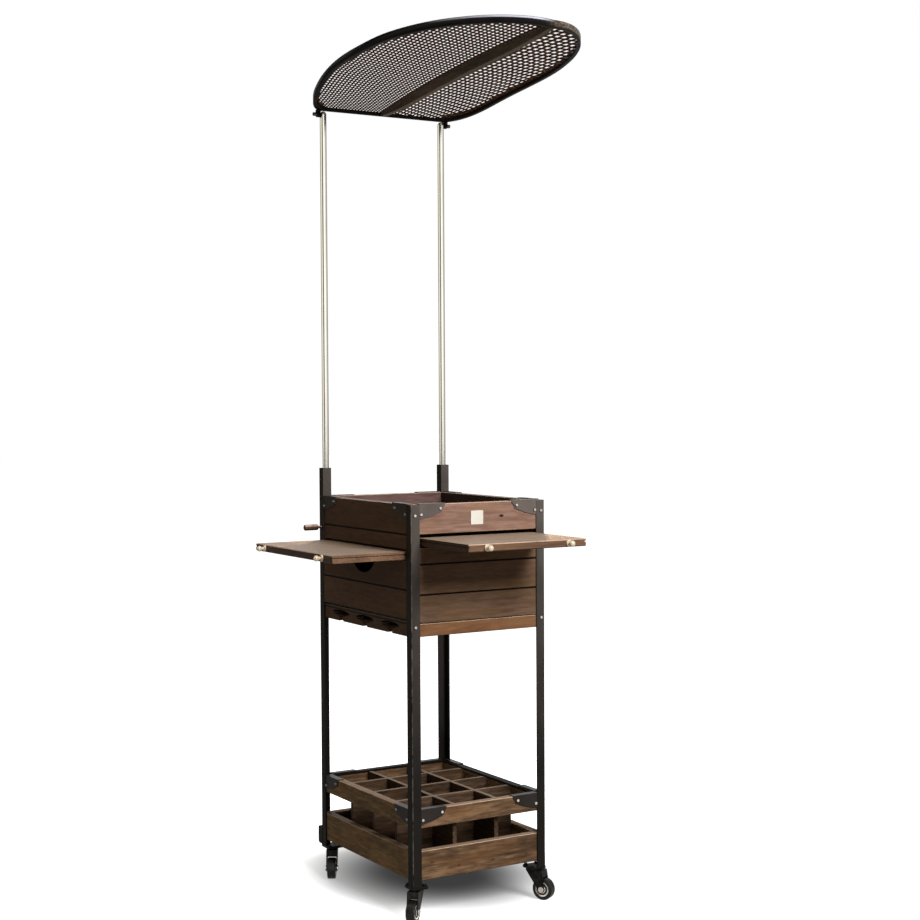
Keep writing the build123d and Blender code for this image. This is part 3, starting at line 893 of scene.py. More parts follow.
RACK_WOOD = replace(
    WALNUT,
    name="rack_rails",
    dark=linear(50, 37, 26),
    middle=linear(80, 61, 45),
    pale=linear(114, 90, 68),
    grain=Grain.ROUND_THE_BOX,
    mottle=0.34,
    figured=0.3,
    # Painted light: faces that look along x are lightened
    flank_shade=(2.1, 2.25, 1.85),
    blush=linear(112, 76, 46),
    blush_share=0.35,
    dark_above=0.2405,
    shift=7.7,
    levels=(),
    joints=(),
    knots=(
        (-0.0561, -0.222, 0.1101),
        (0.0341, -0.222, 0.1098),
        (-0.1252, -0.222, 0.1276),
        (0.1236, -0.222, 0.1105),
    ),
    knot_reach=0.0038,
    knot_share=0.5,
)
RACK_LONG = replace(
    RACK_WOOD,
    name="rack_long_dividers",
    dark=linear(34, 25, 18),
    middle=linear(56, 43, 33),
    pale=linear(82, 65, 51),
    grain=Grain.ALONG_Y,
    # Painted shade on faces that look along x
    flank_shade=(0.7, 0.66, 0.6),
    blush=linear(88, 62, 40),
    blush_share=0.3,
    top_wear_and_highlight=0.16,
    dark_above=None,
    knots=(),
    shift=9.2,
)
RACK_CROSS = replace(RACK_LONG, name="rack_cross_dividers", grain=Grain.ALONG_X, shift=11.4)
DRAWER_WOOD = replace(
    WALNUT_SIDE,
    name="drawer_wood",
    shift=13.8,
    # Painted shade from the left board above: the drawer is lighter below 0.732 m and darker above
    levels=((0.0, (1.15, 1.15, 1.1)), (0.732, (0.86, 0.82, 0.7))),
    joints=(0.666, 0.732),
    inside_shade=PLAIN,
    hand_hold=(0.0, 0.823, 0.068),
)
BOARD_FRONT = WoodFinish(
    name="front_board_wood",
    dark=linear(86, 74, 62),
    middle=linear(116, 101, 86),
    pale=linear(142, 125, 107),
    worn_and_highlight=linear(190, 162, 144),
    roughness=0.5,
    gloss=0.2,
    # Painted shade on the board's upright edges, deepest on those that look along x
    side_shade=(0.66, 0.5, 0.42),
    flank_shade=(0.5, 0.42, 0.36),
    shift=17.0,
)
BOARD_LEFT = replace(BOARD_FRONT, name="left_board_wood", grain=Grain.ALONG_Y, shift=19.5)
PEG_WOOD = replace(
    WALNUT,
    name="clamp_knob_wood",
    levels=(),
    joints=(),
    knots=(),
    shift=23.0,
    top_wear_and_highlight=0.0,
    # Painted shade on the knob's upright faces
    side_shade=(0.6, 0.6, 0.6),
)
CANOPY_WOOD = WoodFinish(
    name="canopy_rib_wood",
    dark=linear(88, 78, 70),
    middle=linear(122, 111, 101),
    pale=linear(154, 143, 132),
    worn_and_highlight=linear(140, 120, 108),
    grain=Grain.ALONG_Y,
    top_wear_and_highlight=0.0,
    edge_wear_and_highlight=0.0,
)
CANOPY_BAND = RimFinish(
    name="canopy_rim_band",
    black=linear(9, 8, 8),
    faded=linear(22, 19, 18),
    # Painted highlight and painted light near the tip
    bare=linear(158, 160, 172),
    painted_light=linear(88, 78, 70),
    roughness=0.4,
    gloss=0.08,
)
POST_PAINT = MetalFinish(
    name="post_paint",
    colour=linear(57, 52, 49),
    clouded=linear(74, 69, 66),
    edge=linear(140, 132, 125),
    metallic=0.0,
    roughness=0.46,
    gloss=0.08,
    hairlines=(160.0, 160.0, 12.0),
    edge_share=0.4,
    # Painted shade towards the foot and on the flanks
    low_shade=0.15,
    flank_shade=(0.36, 0.33, 0.2),
)
BRACKET_PAINT = replace(
    POST_PAINT,
    name="bracket_paint",
    colour=linear(66, 60, 57),
    clouded=linear(90, 83, 79),
    edge=linear(200, 194, 188),
    roughness=0.32,
    gloss=0.12,
    # Painted highlight along upward edges only; painted shade towards the foot and on the flanks
    edge_from=0.2,
    low_shade=0.22,
    flank_shade=(0.46, 0.38, 0.22),
)
CASTER_PAINT = replace(
    POST_PAINT,
    name="caster_paint",
    colour=linear(9, 8, 8),
    clouded=linear(17, 15, 14),
    edge=linear(60, 56, 52),
    roughness=0.4,
    gloss=0.1,
    low_shade=1.0,
    flank_shade=PLAIN,
)
BRIGHT_METAL = MetalFinish(
    name="bright_plate",
    colour=linear(238, 234, 226),
    clouded=linear(218, 212, 202),
    edge=linear(250, 248, 244),
    metallic=1.0,
    roughness=0.16,
    hairlines=(220.0, 220.0, 220.0),
    hairline_depth=0.00002,
)
KNOB_METAL = replace(
    BRIGHT_METAL,
    name="knob_metal",
    colour=linear(226, 208, 180),
    clouded=linear(196, 172, 140),
    metallic=0.55,
)
SCREW_METAL = replace(
    BRIGHT_METAL,
    name="screw_metal",
    colour=linear(214, 208, 200),
    clouded=linear(176, 170, 162),
    metallic=0.45,
    roughness=0.24,
    edge_share=0.0,
    # Painted shade on the flanks and on the heads' rounded shoulders
    flank_shade=(0.54, 0.48, 0.4),
    shoulder_shade=0.12,
)
WHEEL_DISC = DiscFinish(
    name="wheel_disc",
    bright=linear(250, 247, 242),
    clouded=linear(234, 229, 221),
    black=linear(12, 11, 10),
    rings=((0.0, 0.0092), (0.0136, 0.0168)),
)
BADGE_METAL = replace(
    BRIGHT_METAL,
    name="badge_metal",
    colour=linear(202, 200, 192),
    clouded=linear(188, 184, 174),
    metallic=0.15,
    roughness=0.42,
    hairlines=(20.0, 400.0, 900.0),
)
POLE_STEEL = replace(
    BRIGHT_METAL,
    name="pole_steel",
    colour=linear(240, 236, 227),
    clouded=linear(228, 223, 212),
    roughness=0.12,
    hairlines=(500.0, 500.0, 8.0),
    hairline_depth=0.0,
    edge_share=0.0,
)
PIN_STEEL = replace(
    POLE_STEEL,
    name="pin_steel",
    colour=linear(96, 91, 86),
    clouded=linear(70, 66, 62),
    roughness=0.35,
)
BUMPER_RUBBER = RubberFinish("bumper_rubber", linear(24, 23, 22), linear(44, 42, 40), 0.6, 0.15)
TYRE_RUBBER = RubberFinish("tyre_rubber", linear(11, 10, 10), linear(26, 24, 22), 0.3, 0.4)
NET_STRANDS = StrandFinish("net_strands", linear(40, 25, 17), linear(112, 75, 53), 0.66)


def dress(finish: bpy.types.Material, *names: str) -> None:
    """Give solids of the frame one finish.

    Args:
        finish: the material.
        names: the solids' node names.
    """
    for name in names:
        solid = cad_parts[name]
        if not solid.material_slots:
            solid.data.materials.append(finish)
        for slot in solid.material_slots:
            slot.material = finish
        log.info("dressed %s with %s", name, finish.name)


def make_piece(
    name: str, points: np.ndarray, faces: np.ndarray, finish: bpy.types.Material
) -> bpy.types.Object:
    """Put points and four-sided faces into a new piece.

    Args:
        name: the piece's name.
        points: places of the points, in metres.
        faces: four point numbers for each face.
        finish: its material.

    Returns:
        The piece, linked to the scene.
    """
    mesh = bpy.data.meshes.new(name)
    mesh.vertices.add(len(points))
    mesh.vertices.foreach_set("co", points.astype(np.float32).ravel())
    mesh.loops.add(faces.size)
    mesh.loops.foreach_set("vertex_index", faces.astype(np.int32).ravel())
    mesh.polygons.add(len(faces))
    mesh.polygons.foreach_set("loop_start", np.arange(0, faces.size, 4, dtype=np.int32))
    mesh.update(calc_edges=True)
    mesh.materials.append(finish)
    piece = bpy.data.objects.new(name, mesh)
    bpy.context.scene.collection.objects.link(piece)
    log.info("made %s with %d faces", name, len(faces))
    return piece


def lay_map(piece: bpy.types.Object, name: str, places: np.ndarray, faces: np.ndarray) -> None:
    """Give a piece its own flat map.

    Args:
        piece: the piece.
        name: the map's name.
        places: each point's place on the map.
        faces: four point numbers for each face.
    """
    layer = piece.data.uv_layers.new(name=name)
    layer.data.foreach_set("uv", places[faces.ravel()].astype(np.float32).ravel())


def tube_faces(rows: int, around: int, first: int = 0, closed_rows: bool = False) -> np.ndarray:
    """Number the faces of a grid that closes on itself around its second side.

    Face (i, j) joins points (i, j), (i, j+1), (i+1, j+1) and (i+1, j), with j counted round.

    Args:
        rows: points along the grid.
        around: points round it.
        first: number of its first point.
        closed_rows: join the last row to the first as well.

    Returns:
        Four point numbers for each face.
    """
    i, j = np.meshgrid(np.arange(rows if closed_rows else rows - 1), np.arange(around), indexing="ij")
    after_i, after_j = (i + 1) % rows, (j + 1) % around
    corners = (i * around + j, i * around + after_j, after_i * around + after_j, after_i * around + j)
    return first + np.stack(corners, axis=-1).reshape(-1, 4)


@dataclass
class SteelFrame:
    """Angle posts, pole sockets, corner brackets, screws, bare plate and rear bumpers."""

    corners: tuple[str, ...] = ("front_left", "front_right", "rear_left", "rear_right")

    def dress(self) -> None:
        """Give the steelwork its paint and the small fittings their bright metal."""
        dress(POST_PAINT.material(), "pole_sockets", *(f"{corner}_post" for corner in self.corners))
        dress(BRACKET_PAINT.material(), "corner_brackets")
        dress(SCREW_METAL.material(), "screws")
        dress(BADGE_METAL.material(), "badge_plate")
        dress(BUMPER_RUBBER.material(), "rear_bumpers")


@dataclass
class TrayBox:
    """Planked box with the tray on top and the stem rack below."""

    def dress(self) -> None:
        """Give each plank its timber, with the fibres along the plank."""
        along, side, rails = WALNUT.material(), WALNUT_SIDE.material(), WALNUT_RAILS.material()
        dress(along, "tray_front_plank", "front_panel_planks", "rear_panel_planks")
        dress(WALNUT_SHADED.material(), "tray_rear_plank", "tray_deck")
        dress(side, "tray_side_planks", "right_panel_planks", "left_apron", "stem_fascia")
        dress(along, "box_floor", "stem_lips", "stem_spacers")
        dress(rails, "bottom_rails", "board_runners")


@dataclass
class ServingBoards:
    """Two boards that pull out, to the front and to the left, with ball knobs."""

    def dress(self) -> None:
        """Give the boards their paler timber and the knobs their warm metal."""
        dress(BOARD_FRONT.material(), "front_board")
        dress(BOARD_LEFT.material(), "left_board")
        dress(KNOB_METAL.material(), "front_board_knobs", "left_board_knobs")


@dataclass
class SideDrawer:
    """Drawer behind the left side."""

    def dress(self) -> None:
        """Give the drawer its timber."""
        wood = DRAWER_WOOD.material()
        dress(wood, "drawer_upper_front", "drawer_lower_front")
        dress(wood, "drawer_back", "drawer_bottom", "drawer_sides")


@dataclass
class BottleRack:
    """Rails, floor and crossed dividers low between the posts."""

    def dress(self) -> None:
        """Give the rack its warmer timber."""
        dress(RACK_WOOD.material(), "rack_upper_rails", "rack_lower_rails", "rack_floor")
        dress(RACK_LONG.material(), "rack_long_dividers")
        dress(RACK_CROSS.material(), "rack_cross_dividers")


@dataclass
class Mast:
    """Two polished poles, the pins that the canopy tips on and the knobs that clamp the poles."""

    def dress(self) -> None:
        """Give the poles and pins their steel and the clamp knobs their timber."""
        dress(POLE_STEEL.material(), "left_pole", "right_pole")
        dress(PIN_STEEL.material(), "hinge_pins")
        dress(PEG_WOOD.material(), "left_clamp_knob", "right_clamp_knob")


@dataclass
class StrandLines:
    """Strands of one set: middle lines, directions across and outward along them, and widths."""

    middle: np.ndarray
    across: np.ndarray
    outward: np.ndarray
    wide: np.ndarray


@dataclass(frozen=True)
class NetPanel:
    """Spacing of one half of the net.

    Lengthwise strands stand apart by pitch[0] + pitch[1] * reach. Cross strands leave the rib at gaps read
    from a table over the reach, and fall back by (lean[0] - lean[1] * reach) for each metre they run out.
    """

    side: int
    pitch: tuple[float, float]
    reaches: tuple[float, ...]
    gaps: tuple[float, ...]
    lean: tuple[float, float] = (0.0, 0.0)
    hem: float = 0.0
    count_steps: int = 4000

    def pitch_at(self, reach: np.ndarray) -> np.ndarray:
        """Distance between lengthwise strands at some reaches."""
        return self.pitch[0] + self.pitch[1] * reach

    def gap_at(self, reach: np.ndarray) -> np.ndarray:
        """Distance between cross strands at some reaches along the rib."""
        return np.interp(reach, self.reaches, self.gaps)

    def at_rib(self, out: np.ndarray, reach: np.ndarray) -> np.ndarray:
        """Reach at the rib of the cross strand that passes through points at a distance out from it."""
        return (reach + self.lean[0] * out) / (1.0 + self.lean[1] * out)

    def along(self, out: np.ndarray, at_rib: np.ndarray) -> np.ndarray:
        """Reach of a cross strand at a distance out from the rib."""
        return at_rib * (1.0 + self.lean[1] * out) - self.lean[0] * out

    def cross_count(self, at_rib: np.ndarray) -> np.ndarray:
        """Number of gaps between the back bar and some reaches along the rib.

        It is the running sum of one over the gap, read between closely spaced reaches.

        Args:
            at_rib: the reaches.

        Returns:
            The numbers, with their fractions.
        """
        fine = np.linspace(0.0, self.reaches[-1], self.count_steps)
        count = np.concatenate(((0.0,), np.cumsum(np.diff(fine) / self.gap_at(fine[1:]))))
        return np.interp(at_rib, fine, count)


@dataclass
class Canopy:
    """Leaf-shaped canopy: rim, middle rib and one woven net stretched between them.

    Reach is counted forward of the poles. The outline is two half leaves that meet at the widest place,
    each a curve of the form across**power + along**power = 1.
    """

    half_width: float = 0.234
    widest: float = 0.341
    back: tuple[float, float] = (0.3625, 4.7)
    front: tuple[float, float] = (0.399, 1.75)
    rim_inset: float = 0.0068
    hinge_y: float = 0.2125
    first_reach: float = 0.0035
    rise: Triple = (1.8477, 0.1587, -0.08)
    dish_run: float = 0.2
    dish_left: float = 0.1275
    dish_right: float = 0.0275
    rib_half: float = 0.007
    panels: tuple[NetPanel, ...] = (
        NetPanel(
            side=-1,
            pitch=(0.0085, 0.0031),
            reaches=(0.0, 0.1, 0.175, 0.25, 0.33, 0.48, 0.62, 0.74),
            gaps=(0.0085, 0.0092, 0.0104, 0.0122, 0.0135, 0.0151, 0.016, 0.0166),
            hem=0.0062,
        ),
        NetPanel(
            side=1,
            pitch=(0.0112, 0.0145),
            reaches=(0.0, 0.74),
            gaps=(0.0148, 0.021),
            lean=(0.42, 0.4),
        ),
    )
    strand_share: float = 0.51
    strand_thick: float = 0.0004
    strand_wave: float = 0.0003
    strand_tuck: float = 0.001
    hem_start: float = 0.02
    map_steps: tuple[float, float] = (0.731, 3.7)
    map_grow: float = 100.0
    warp_steps: int = 190
    weft_steps: int = 100
    hem_steps: int = 240
    search_steps: int = 3000

    @property
    def tip(self) -> float:
        """Reach of the net's tip."""
        return self.widest + self.front[0] - self.rim_inset

    def surface(self, x: np.ndarray, reach: np.ndarray) -> tuple[np.ndarray, np.ndarray, np.ndarray]:
        """Place points on the arched, dished sheet.

        Height is a parabola of the reach, plus the distance from the rib times a slope that grows from
        the back bar as 3 s**2 - 2 s**3. The outward direction is the slopes' cross product.

        Args:
            x: distances across.
            reach: distances forward of the poles.

        Returns:
            The points, the slopes across and along Y, and the outward directions.
        """
        start, slope, bend = self.rise
        share = np.clip(reach / self.dish_run, 0.0, 1.0)
        steep = np.where(x < 0.0, self.dish_left, self.dish_right)
        dish = steep * share**2 * (3.0 - 2.0 * share)
        grows = steep * 6.0 * share * (1.0 - share) / self.dish_run
        z = start + slope * reach + bend * reach**2 + dish * np.abs(x)
        slope_x = dish * np.sign(x)
        slope_y = -(slope + 2.0 * bend * reach + grows * np.abs(x))
        outward = np.stack((-slope_x, -slope_y, np.ones_like(z)), axis=-1)
        outward /= np.linalg.norm(outward, axis=-1, keepdims=True)
        return np.stack((x, self.hinge_y - reach, z), axis=-1), np.stack((slope_x, slope_y), axis=-1), outward

    def leaf_half(self, reach: np.ndarray) -> np.ndarray:
        """Half width of the net at some reaches.

        Args:
            reach: distances forward of the poles.

        Returns:
            The half widths, ending just inside the rim.
        """
        ahead = reach > self.widest
        long = np.where(ahead, self.front[0], self.back[0]) - self.rim_inset
        power = np.where(ahead, self.front[1], self.back[1])
        share = np.clip(1.0 - np.abs((reach - self.widest) / long) ** power, 0.0, 1.0)
        return (self.half_width - self.rim_inset) * share ** (1.0 / power)

    def rim_place(self, graph: ShaderGraph) -> tuple[Socket, Socket, Socket]:
        """Find a point's place on the rim inside a material, by the formula of the sheet's height.

        Args:
            graph: the material being made.

        Returns:
            The distance across, the reach and the height above the rim's middle line.
        """
        start, slope, bend = self.rise
        x, y, z = graph.split(graph.place)
        reach = graph.maths("SUBTRACT", self.hinge_y, y)
        share = graph.spread(reach, 0.0, self.dish_run)
        grown = graph.times(share, share, graph.spread(share, 0.0, 1.0, 3.0, 1.0))
        steep = graph.spread(graph.maths("LESS_THAN", x, 0.0), 0.0, 1.0, self.dish_right, self.dish_left)
        dish = graph.times(grown, steep, graph.maths("ABSOLUTE", x))
        arch = graph.times(reach, graph.maths("ADD", slope, graph.times(bend, reach)))
        level = graph.maths("ADD", graph.maths("ADD", start, arch), dish)
        return x, reach, graph.maths("SUBTRACT", z, level)

    def warps(self, panel: NetPanel) -> StrandLines:
        """Lay out the strands that run front to back on one side of the rib.

        Strand i stands i + 1/2 pitches out from the rib wherever that lies inside the leaf. Its height
        swings as a cosine with one half wave to a cross strand, so it passes over and under them.

        Args:
            panel: spacing of this half of the net.

        Returns:
            The strands.
        """
        fine = np.linspace(self.first_reach, self.tip, self.search_steps)
        order = np.arange(int(self.half_width / panel.pitch[0]))
        inside = self.rib_half + (order[:, None] + 0.5) * panel.pitch_at(fine) < self.leaf_half(fine)
        kept = inside.any(axis=1)
        order, inside = order[kept], inside[kept]
        behind, ahead = fine[np.argmax(inside, axis=1)], fine[::-1][np.argmax(inside[:, ::-1], axis=1)]
        reach = ahead[:, None] + (behind - ahead)[:, None] * np.linspace(0.0, 1.0, self.warp_steps)
        pitch = panel.pitch_at(reach)
        out = self.rib_half + (order[:, None] + 0.5) * pitch
        turn = math.pi * (panel.cross_count(panel.at_rib(out, reach)) - 0.5 + order[:, None])
        points, slopes, outward = self.surface(panel.side * out, reach)
        across = np.stack((np.ones_like(out), np.zeros_like(out), slopes[..., 0]), axis=-1)
        middle = points + outward * self.strand_wave * np.cos(turn)[..., None]
        return StrandLines(middle, across, outward, self.strand_share * pitch)

    def wefts(self, panel: NetPanel) -> StrandLines:
        """Lay out the strands that run from the rib to the rim on one side.

        Each ends where it meets the rim or the back bar. The height swings as the opposite cosine of the
        strands that run along, counted from the rib.

        Args:
            panel: spacing of this half of the net.

        Returns:
            The strands.
        """
        fine = np.linspace(0.0, self.tip, self.search_steps)
        order = np.arange(int(panel.cross_count(np.array(self.tip)) - 0.5))
        places = np.interp(order + 0.5, panel.cross_count(fine), fine)
        outs = np.linspace(self.rib_half - self.strand_tuck, self.half_width, self.search_steps)
        reach = panel.along(outs, places[:, None])
        outside = (outs > self.leaf_half(reach)) | (reach < self.first_reach)
        ends = outs[np.argmax(outside, axis=1)]
        kept = ends > self.rib_half + panel.pitch[0]
        order, places, ends = order[kept], places[kept], ends[kept]
        steps = np.linspace(0.0, 1.0, self.weft_steps)[:: panel.side]
        out = outs[0] + (ends - outs[0])[:, None] * steps
        reach = panel.along(out, places[:, None])
        count = (out - self.rib_half) / panel.pitch_at(reach) - 0.5
        points, slopes, outward = self.surface(panel.side * out, reach)
        across = np.stack((np.zeros_like(out), -np.ones_like(out), -slopes[..., 1]), axis=-1)
        middle = points - outward * self.strand_wave * np.cos(math.pi * (count + order[:, None]))[..., None]
        wide = np.broadcast_to(self.strand_share * panel.gap_at(places)[:, None], out.shape)
        return StrandLines(middle, across, outward, wide)

    def hem(self, panel: NetPanel) -> StrandLines:
        """Lay out the band that binds a panel to the rim.

        It follows the leaf's outline drawn in by half its width: across is a sine and along a cosine, each
        raised to two over the outline's power.

        Args:
            panel: spacing of this half of the net.

        Returns:
            One wide strand.
        """
        inset = self.rim_inset + panel.hem / 2.0
        wide = self.half_width - inset
        turn = np.linspace(self.hem_start, 0.5 * math.pi, self.hem_steps)
        ahead = wide * np.sin(turn) ** (2.0 / self.front[1])
        reach_ahead = self.widest + (self.front[0] - inset) * np.cos(turn) ** (2.0 / self.front[1])
        turn = np.linspace(0.0, 0.5 * math.pi, self.hem_steps)[1:]
        behind = wide * np.cos(turn) ** (2.0 / self.back[1])
        reach_behind = self.widest - (self.back[0] - inset) * np.sin(turn) ** (2.0 / self.back[1])
        reach = np.concatenate((reach_ahead, reach_behind))
        out = np.concatenate((ahead, behind))[reach > self.first_reach]
        points, _, outward = self.surface(panel.side * out, reach[reach > self.first_reach])
        across = np.cross(np.gradient(points, axis=0), outward)
        return StrandLines(points[None], across[None], outward[None], np.full((1, len(points)), panel.hem))

    def ribbons(self, lines: StrandLines, first: int) -> tuple[np.ndarray, np.ndarray, np.ndarray]:
        """Carry a flat four-cornered profile along each strand and close both its ends.

        A corner is the middle line plus or minus half the width across and half the thickness outward.
        On the map each strand starts a step further on, so that no two look alike.

        Args:
            lines: the strands.
            first: number of the first point.

        Returns:
            The points, the faces and each point's place on the strand's own map.
        """
        across = lines.across / np.linalg.norm(lines.across, axis=-1, keepdims=True)
        wide = np.array((-0.5, 0.5, 0.5, -0.5)) * lines.wide[..., None]
        thick = np.array((-0.5, -0.5, 0.5, 0.5)) * self.strand_thick
        edges = across[..., None, :] * wide[..., None] + lines.outward[..., None, :] * thick[:, None]
        corners = lines.middle[..., None, :] + edges
        strands, steps = lines.middle.shape[:2]
        one = tube_faces(steps, 4)[:, ::-1]
        caps = np.array(((0, 1, 2, 3), (4 * steps - 1, 4 * steps - 2, 4 * steps - 3, 4 * steps - 4)))
        one = np.concatenate((one, caps))
        starts = first + 4 * steps * np.arange(strands)
        faces = (starts[:, None, None] + one[None]).reshape(-1, 4)
        gone = np.linalg.norm(np.diff(lines.middle, axis=1), axis=-1)
        along = np.concatenate((np.zeros((strands, 1)), np.cumsum(gone, axis=1)), axis=1)
        along = along + self.map_steps[0] * np.arange(strands)[:, None]
        map_u = np.broadcast_to(along[..., None], corners.shape[:3])
        map_v = self.map_grow * wide + self.map_steps[1] * np.arange(strands)[:, None, None]
        return corners.reshape(-1, 3), faces, np.stack((map_u, map_v), axis=-1).reshape(-1, 2)

    def build(self) -> bpy.types.Object:
        """Weave the net, hang it on the canopy and let it stand for the two net solids.

        Returns:
            The net.
        """
        parts: list[tuple[np.ndarray, np.ndarray, np.ndarray]] = []
        for panel in self.panels:
            sets = [self.warps(panel), self.wefts(panel)] + ([self.hem(panel)] if panel.hem > 0.0 else [])
            for lines in sets:
                parts.append(self.ribbons(lines, sum(len(part[0]) for part in parts)))
        points, faces, places = (np.concatenate(arrays) for arrays in zip(*parts))
        net = make_piece("canopy_net", points, faces, NET_STRANDS.material())
        lay_map(net, "strand", places, faces)
        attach(net, "canopy")
        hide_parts("canopy_left_net", "canopy_right_net")
        return net

    def dress(self) -> None:
        """Give the rim and the rib their finishes."""
        dress(CANOPY_BAND.material(self), "canopy_rim")
        dress(CANOPY_WOOD.material(), "canopy_rib")


@dataclass
class Casters:
    """Four swivel casters, each with bright discs in the wheel's two dished faces."""

    swivel: tuple[float, float] = (0.156, 0.206)
    trail: float = 0.025
    wheel_radius: float = 0.025
    disc_profile: tuple[tuple[float, float], ...] = (
        (0.0043, 0.0103),
        (0.0064, 0.0106),
        (0.0092, 0.0105),
        (0.0104, 0.0094),
        (0.0122, 0.0090),
        (0.0146, 0.0092),
        (0.0160, 0.0099),
        (0.0168, 0.0099),
        (0.0168, 0.0081),
        (0.0103, 0.0081),
        (0.0102, 0.0100),
        (0.0043, 0.0100),
    )
    steps: int = 64
    headings: tuple[tuple[str, int, int, float, float], ...] = (
        ("front_left", -1, -1, -0.742, -0.669),
        ("front_right", 1, -1, 0.469, -0.883),
        ("rear_left", -1, 1, -0.515, -0.857),
        ("rear_right", 1, 1, 0.2, -0.98),
    )

    def disc(
        self, middle: np.ndarray, axle: np.ndarray, side: int
    ) -> tuple[np.ndarray, np.ndarray, np.ndarray]:
        """Turn the disc's closed profile about the axle.

        A point is the wheel's middle, plus the profile's reach along the axle, plus its radius times the
        cosine and sine of the turn.

        Args:
            middle: the wheel's middle.
            axle: direction of the axle.
            side: 1 or -1, the face of the wheel.

        Returns:
            The points, the faces, outward on both sides, and each point's radius and turn.
        """
        turn = np.linspace(0.0, 2.0 * math.pi, self.steps, endpoint=False)
        radius, reach = np.array(self.disc_profile).T
        forward = np.cross(UPWARD, axle)
        spoke = np.cos(turn)[:, None] * forward + np.sin(turn)[:, None] * np.array(UPWARD)
        points = middle + spoke[:, None, :] * radius[:, None] + side * axle * reach[:, None]
        faces = tube_faces(self.steps, len(radius), closed_rows=True)
        places = np.stack(np.broadcast_arrays(radius[None, :], turn[:, None]), axis=-1)
        return points.reshape(-1, 3), faces if side > 0 else faces[:, ::-1], places.reshape(-1, 2)

    def build(self) -> None:
        """Put the discs on every wheel."""
        bright = WHEEL_DISC.material()
        for corner, side_x, side_y, heading_x, heading_y in self.headings:
            heading = np.array((heading_x, heading_y, 0.0)) / math.hypot(heading_x, heading_y)
            foot = np.array((side_x * self.swivel[0], side_y * self.swivel[1], self.wheel_radius))
            axle = np.cross(UPWARD, heading)
            parts = [self.disc(foot + self.trail * heading, axle, side) for side in (1, -1)]
            points = np.concatenate([part[0] for part in parts])
            faces = np.concatenate((parts[0][1], parts[1][1] + len(parts[0][0])))
            discs = make_piece(f"{corner}_wheel_discs", points, faces, bright)
            lay_map(discs, "turned", np.concatenate([part[2] for part in parts]), faces)
            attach(discs, f"{corner}_roller")

    def dress(self) -> None:
        """Give the casters their paint, tyres and bright axles."""
        paint, tyre, bright = CASTER_PAINT.material(), TYRE_RUBBER.material(), BRIGHT_METAL.material()
        dress(paint, "caster_plates", "caster_bolts")
        for corner, *_ in self.headings:
            dress(paint, f"{corner}_fork")
            dress(bright, f"{corner}_axle")
            dress(tyre, f"{corner}_wheel")


def stand(item: bpy.types.Object, right: np.ndarray, ahead: np.ndarray, place: Triple) -> None:
    """Turn a camera or a lamp to look ahead, and set it in its place.

    Its own three axes are right, right cross ahead, and straight back.

    Args:
        item: the camera or lamp.
        right: direction to its right.
        ahead: direction that it looks in.
        place: where it stands.
    """
    pose = np.eye(4)
    pose[:3] = np.stack((right, np.cross(right, ahead), -ahead, place), axis=1)
    item.matrix_world = pose.T.tolist()


@dataclass(frozen=True)
class Lamp:
    """Soft square lamp: where it hangs, what it points at, its side, its power in watts and its tint."""

    name: str
    place: Triple
    aim: Triple
    size: float
    power: float
    tint: Colour

    def hang(self) -> bpy.types.Object:
        """Hang the lamp so that it lights the cart without showing in its bright metal.

        Returns:
            The hung lamp.
        """
        light = bpy.data.lights.new(self.name, "AREA")
        light.size = self.size
        light.energy = self.power
        light.color = self.tint
        holder = bpy.data.objects.new(self.name, light)
        holder.visible_glossy = False
        bpy.context.scene.collection.objects.link(holder)
        ahead = np.array(self.aim) - np.array(self.place)
        right = np.cross(ahead, UPWARD)
        stand(holder, right / np.linalg.norm(right), ahead / np.linalg.norm(ahead), self.place)
        return holder


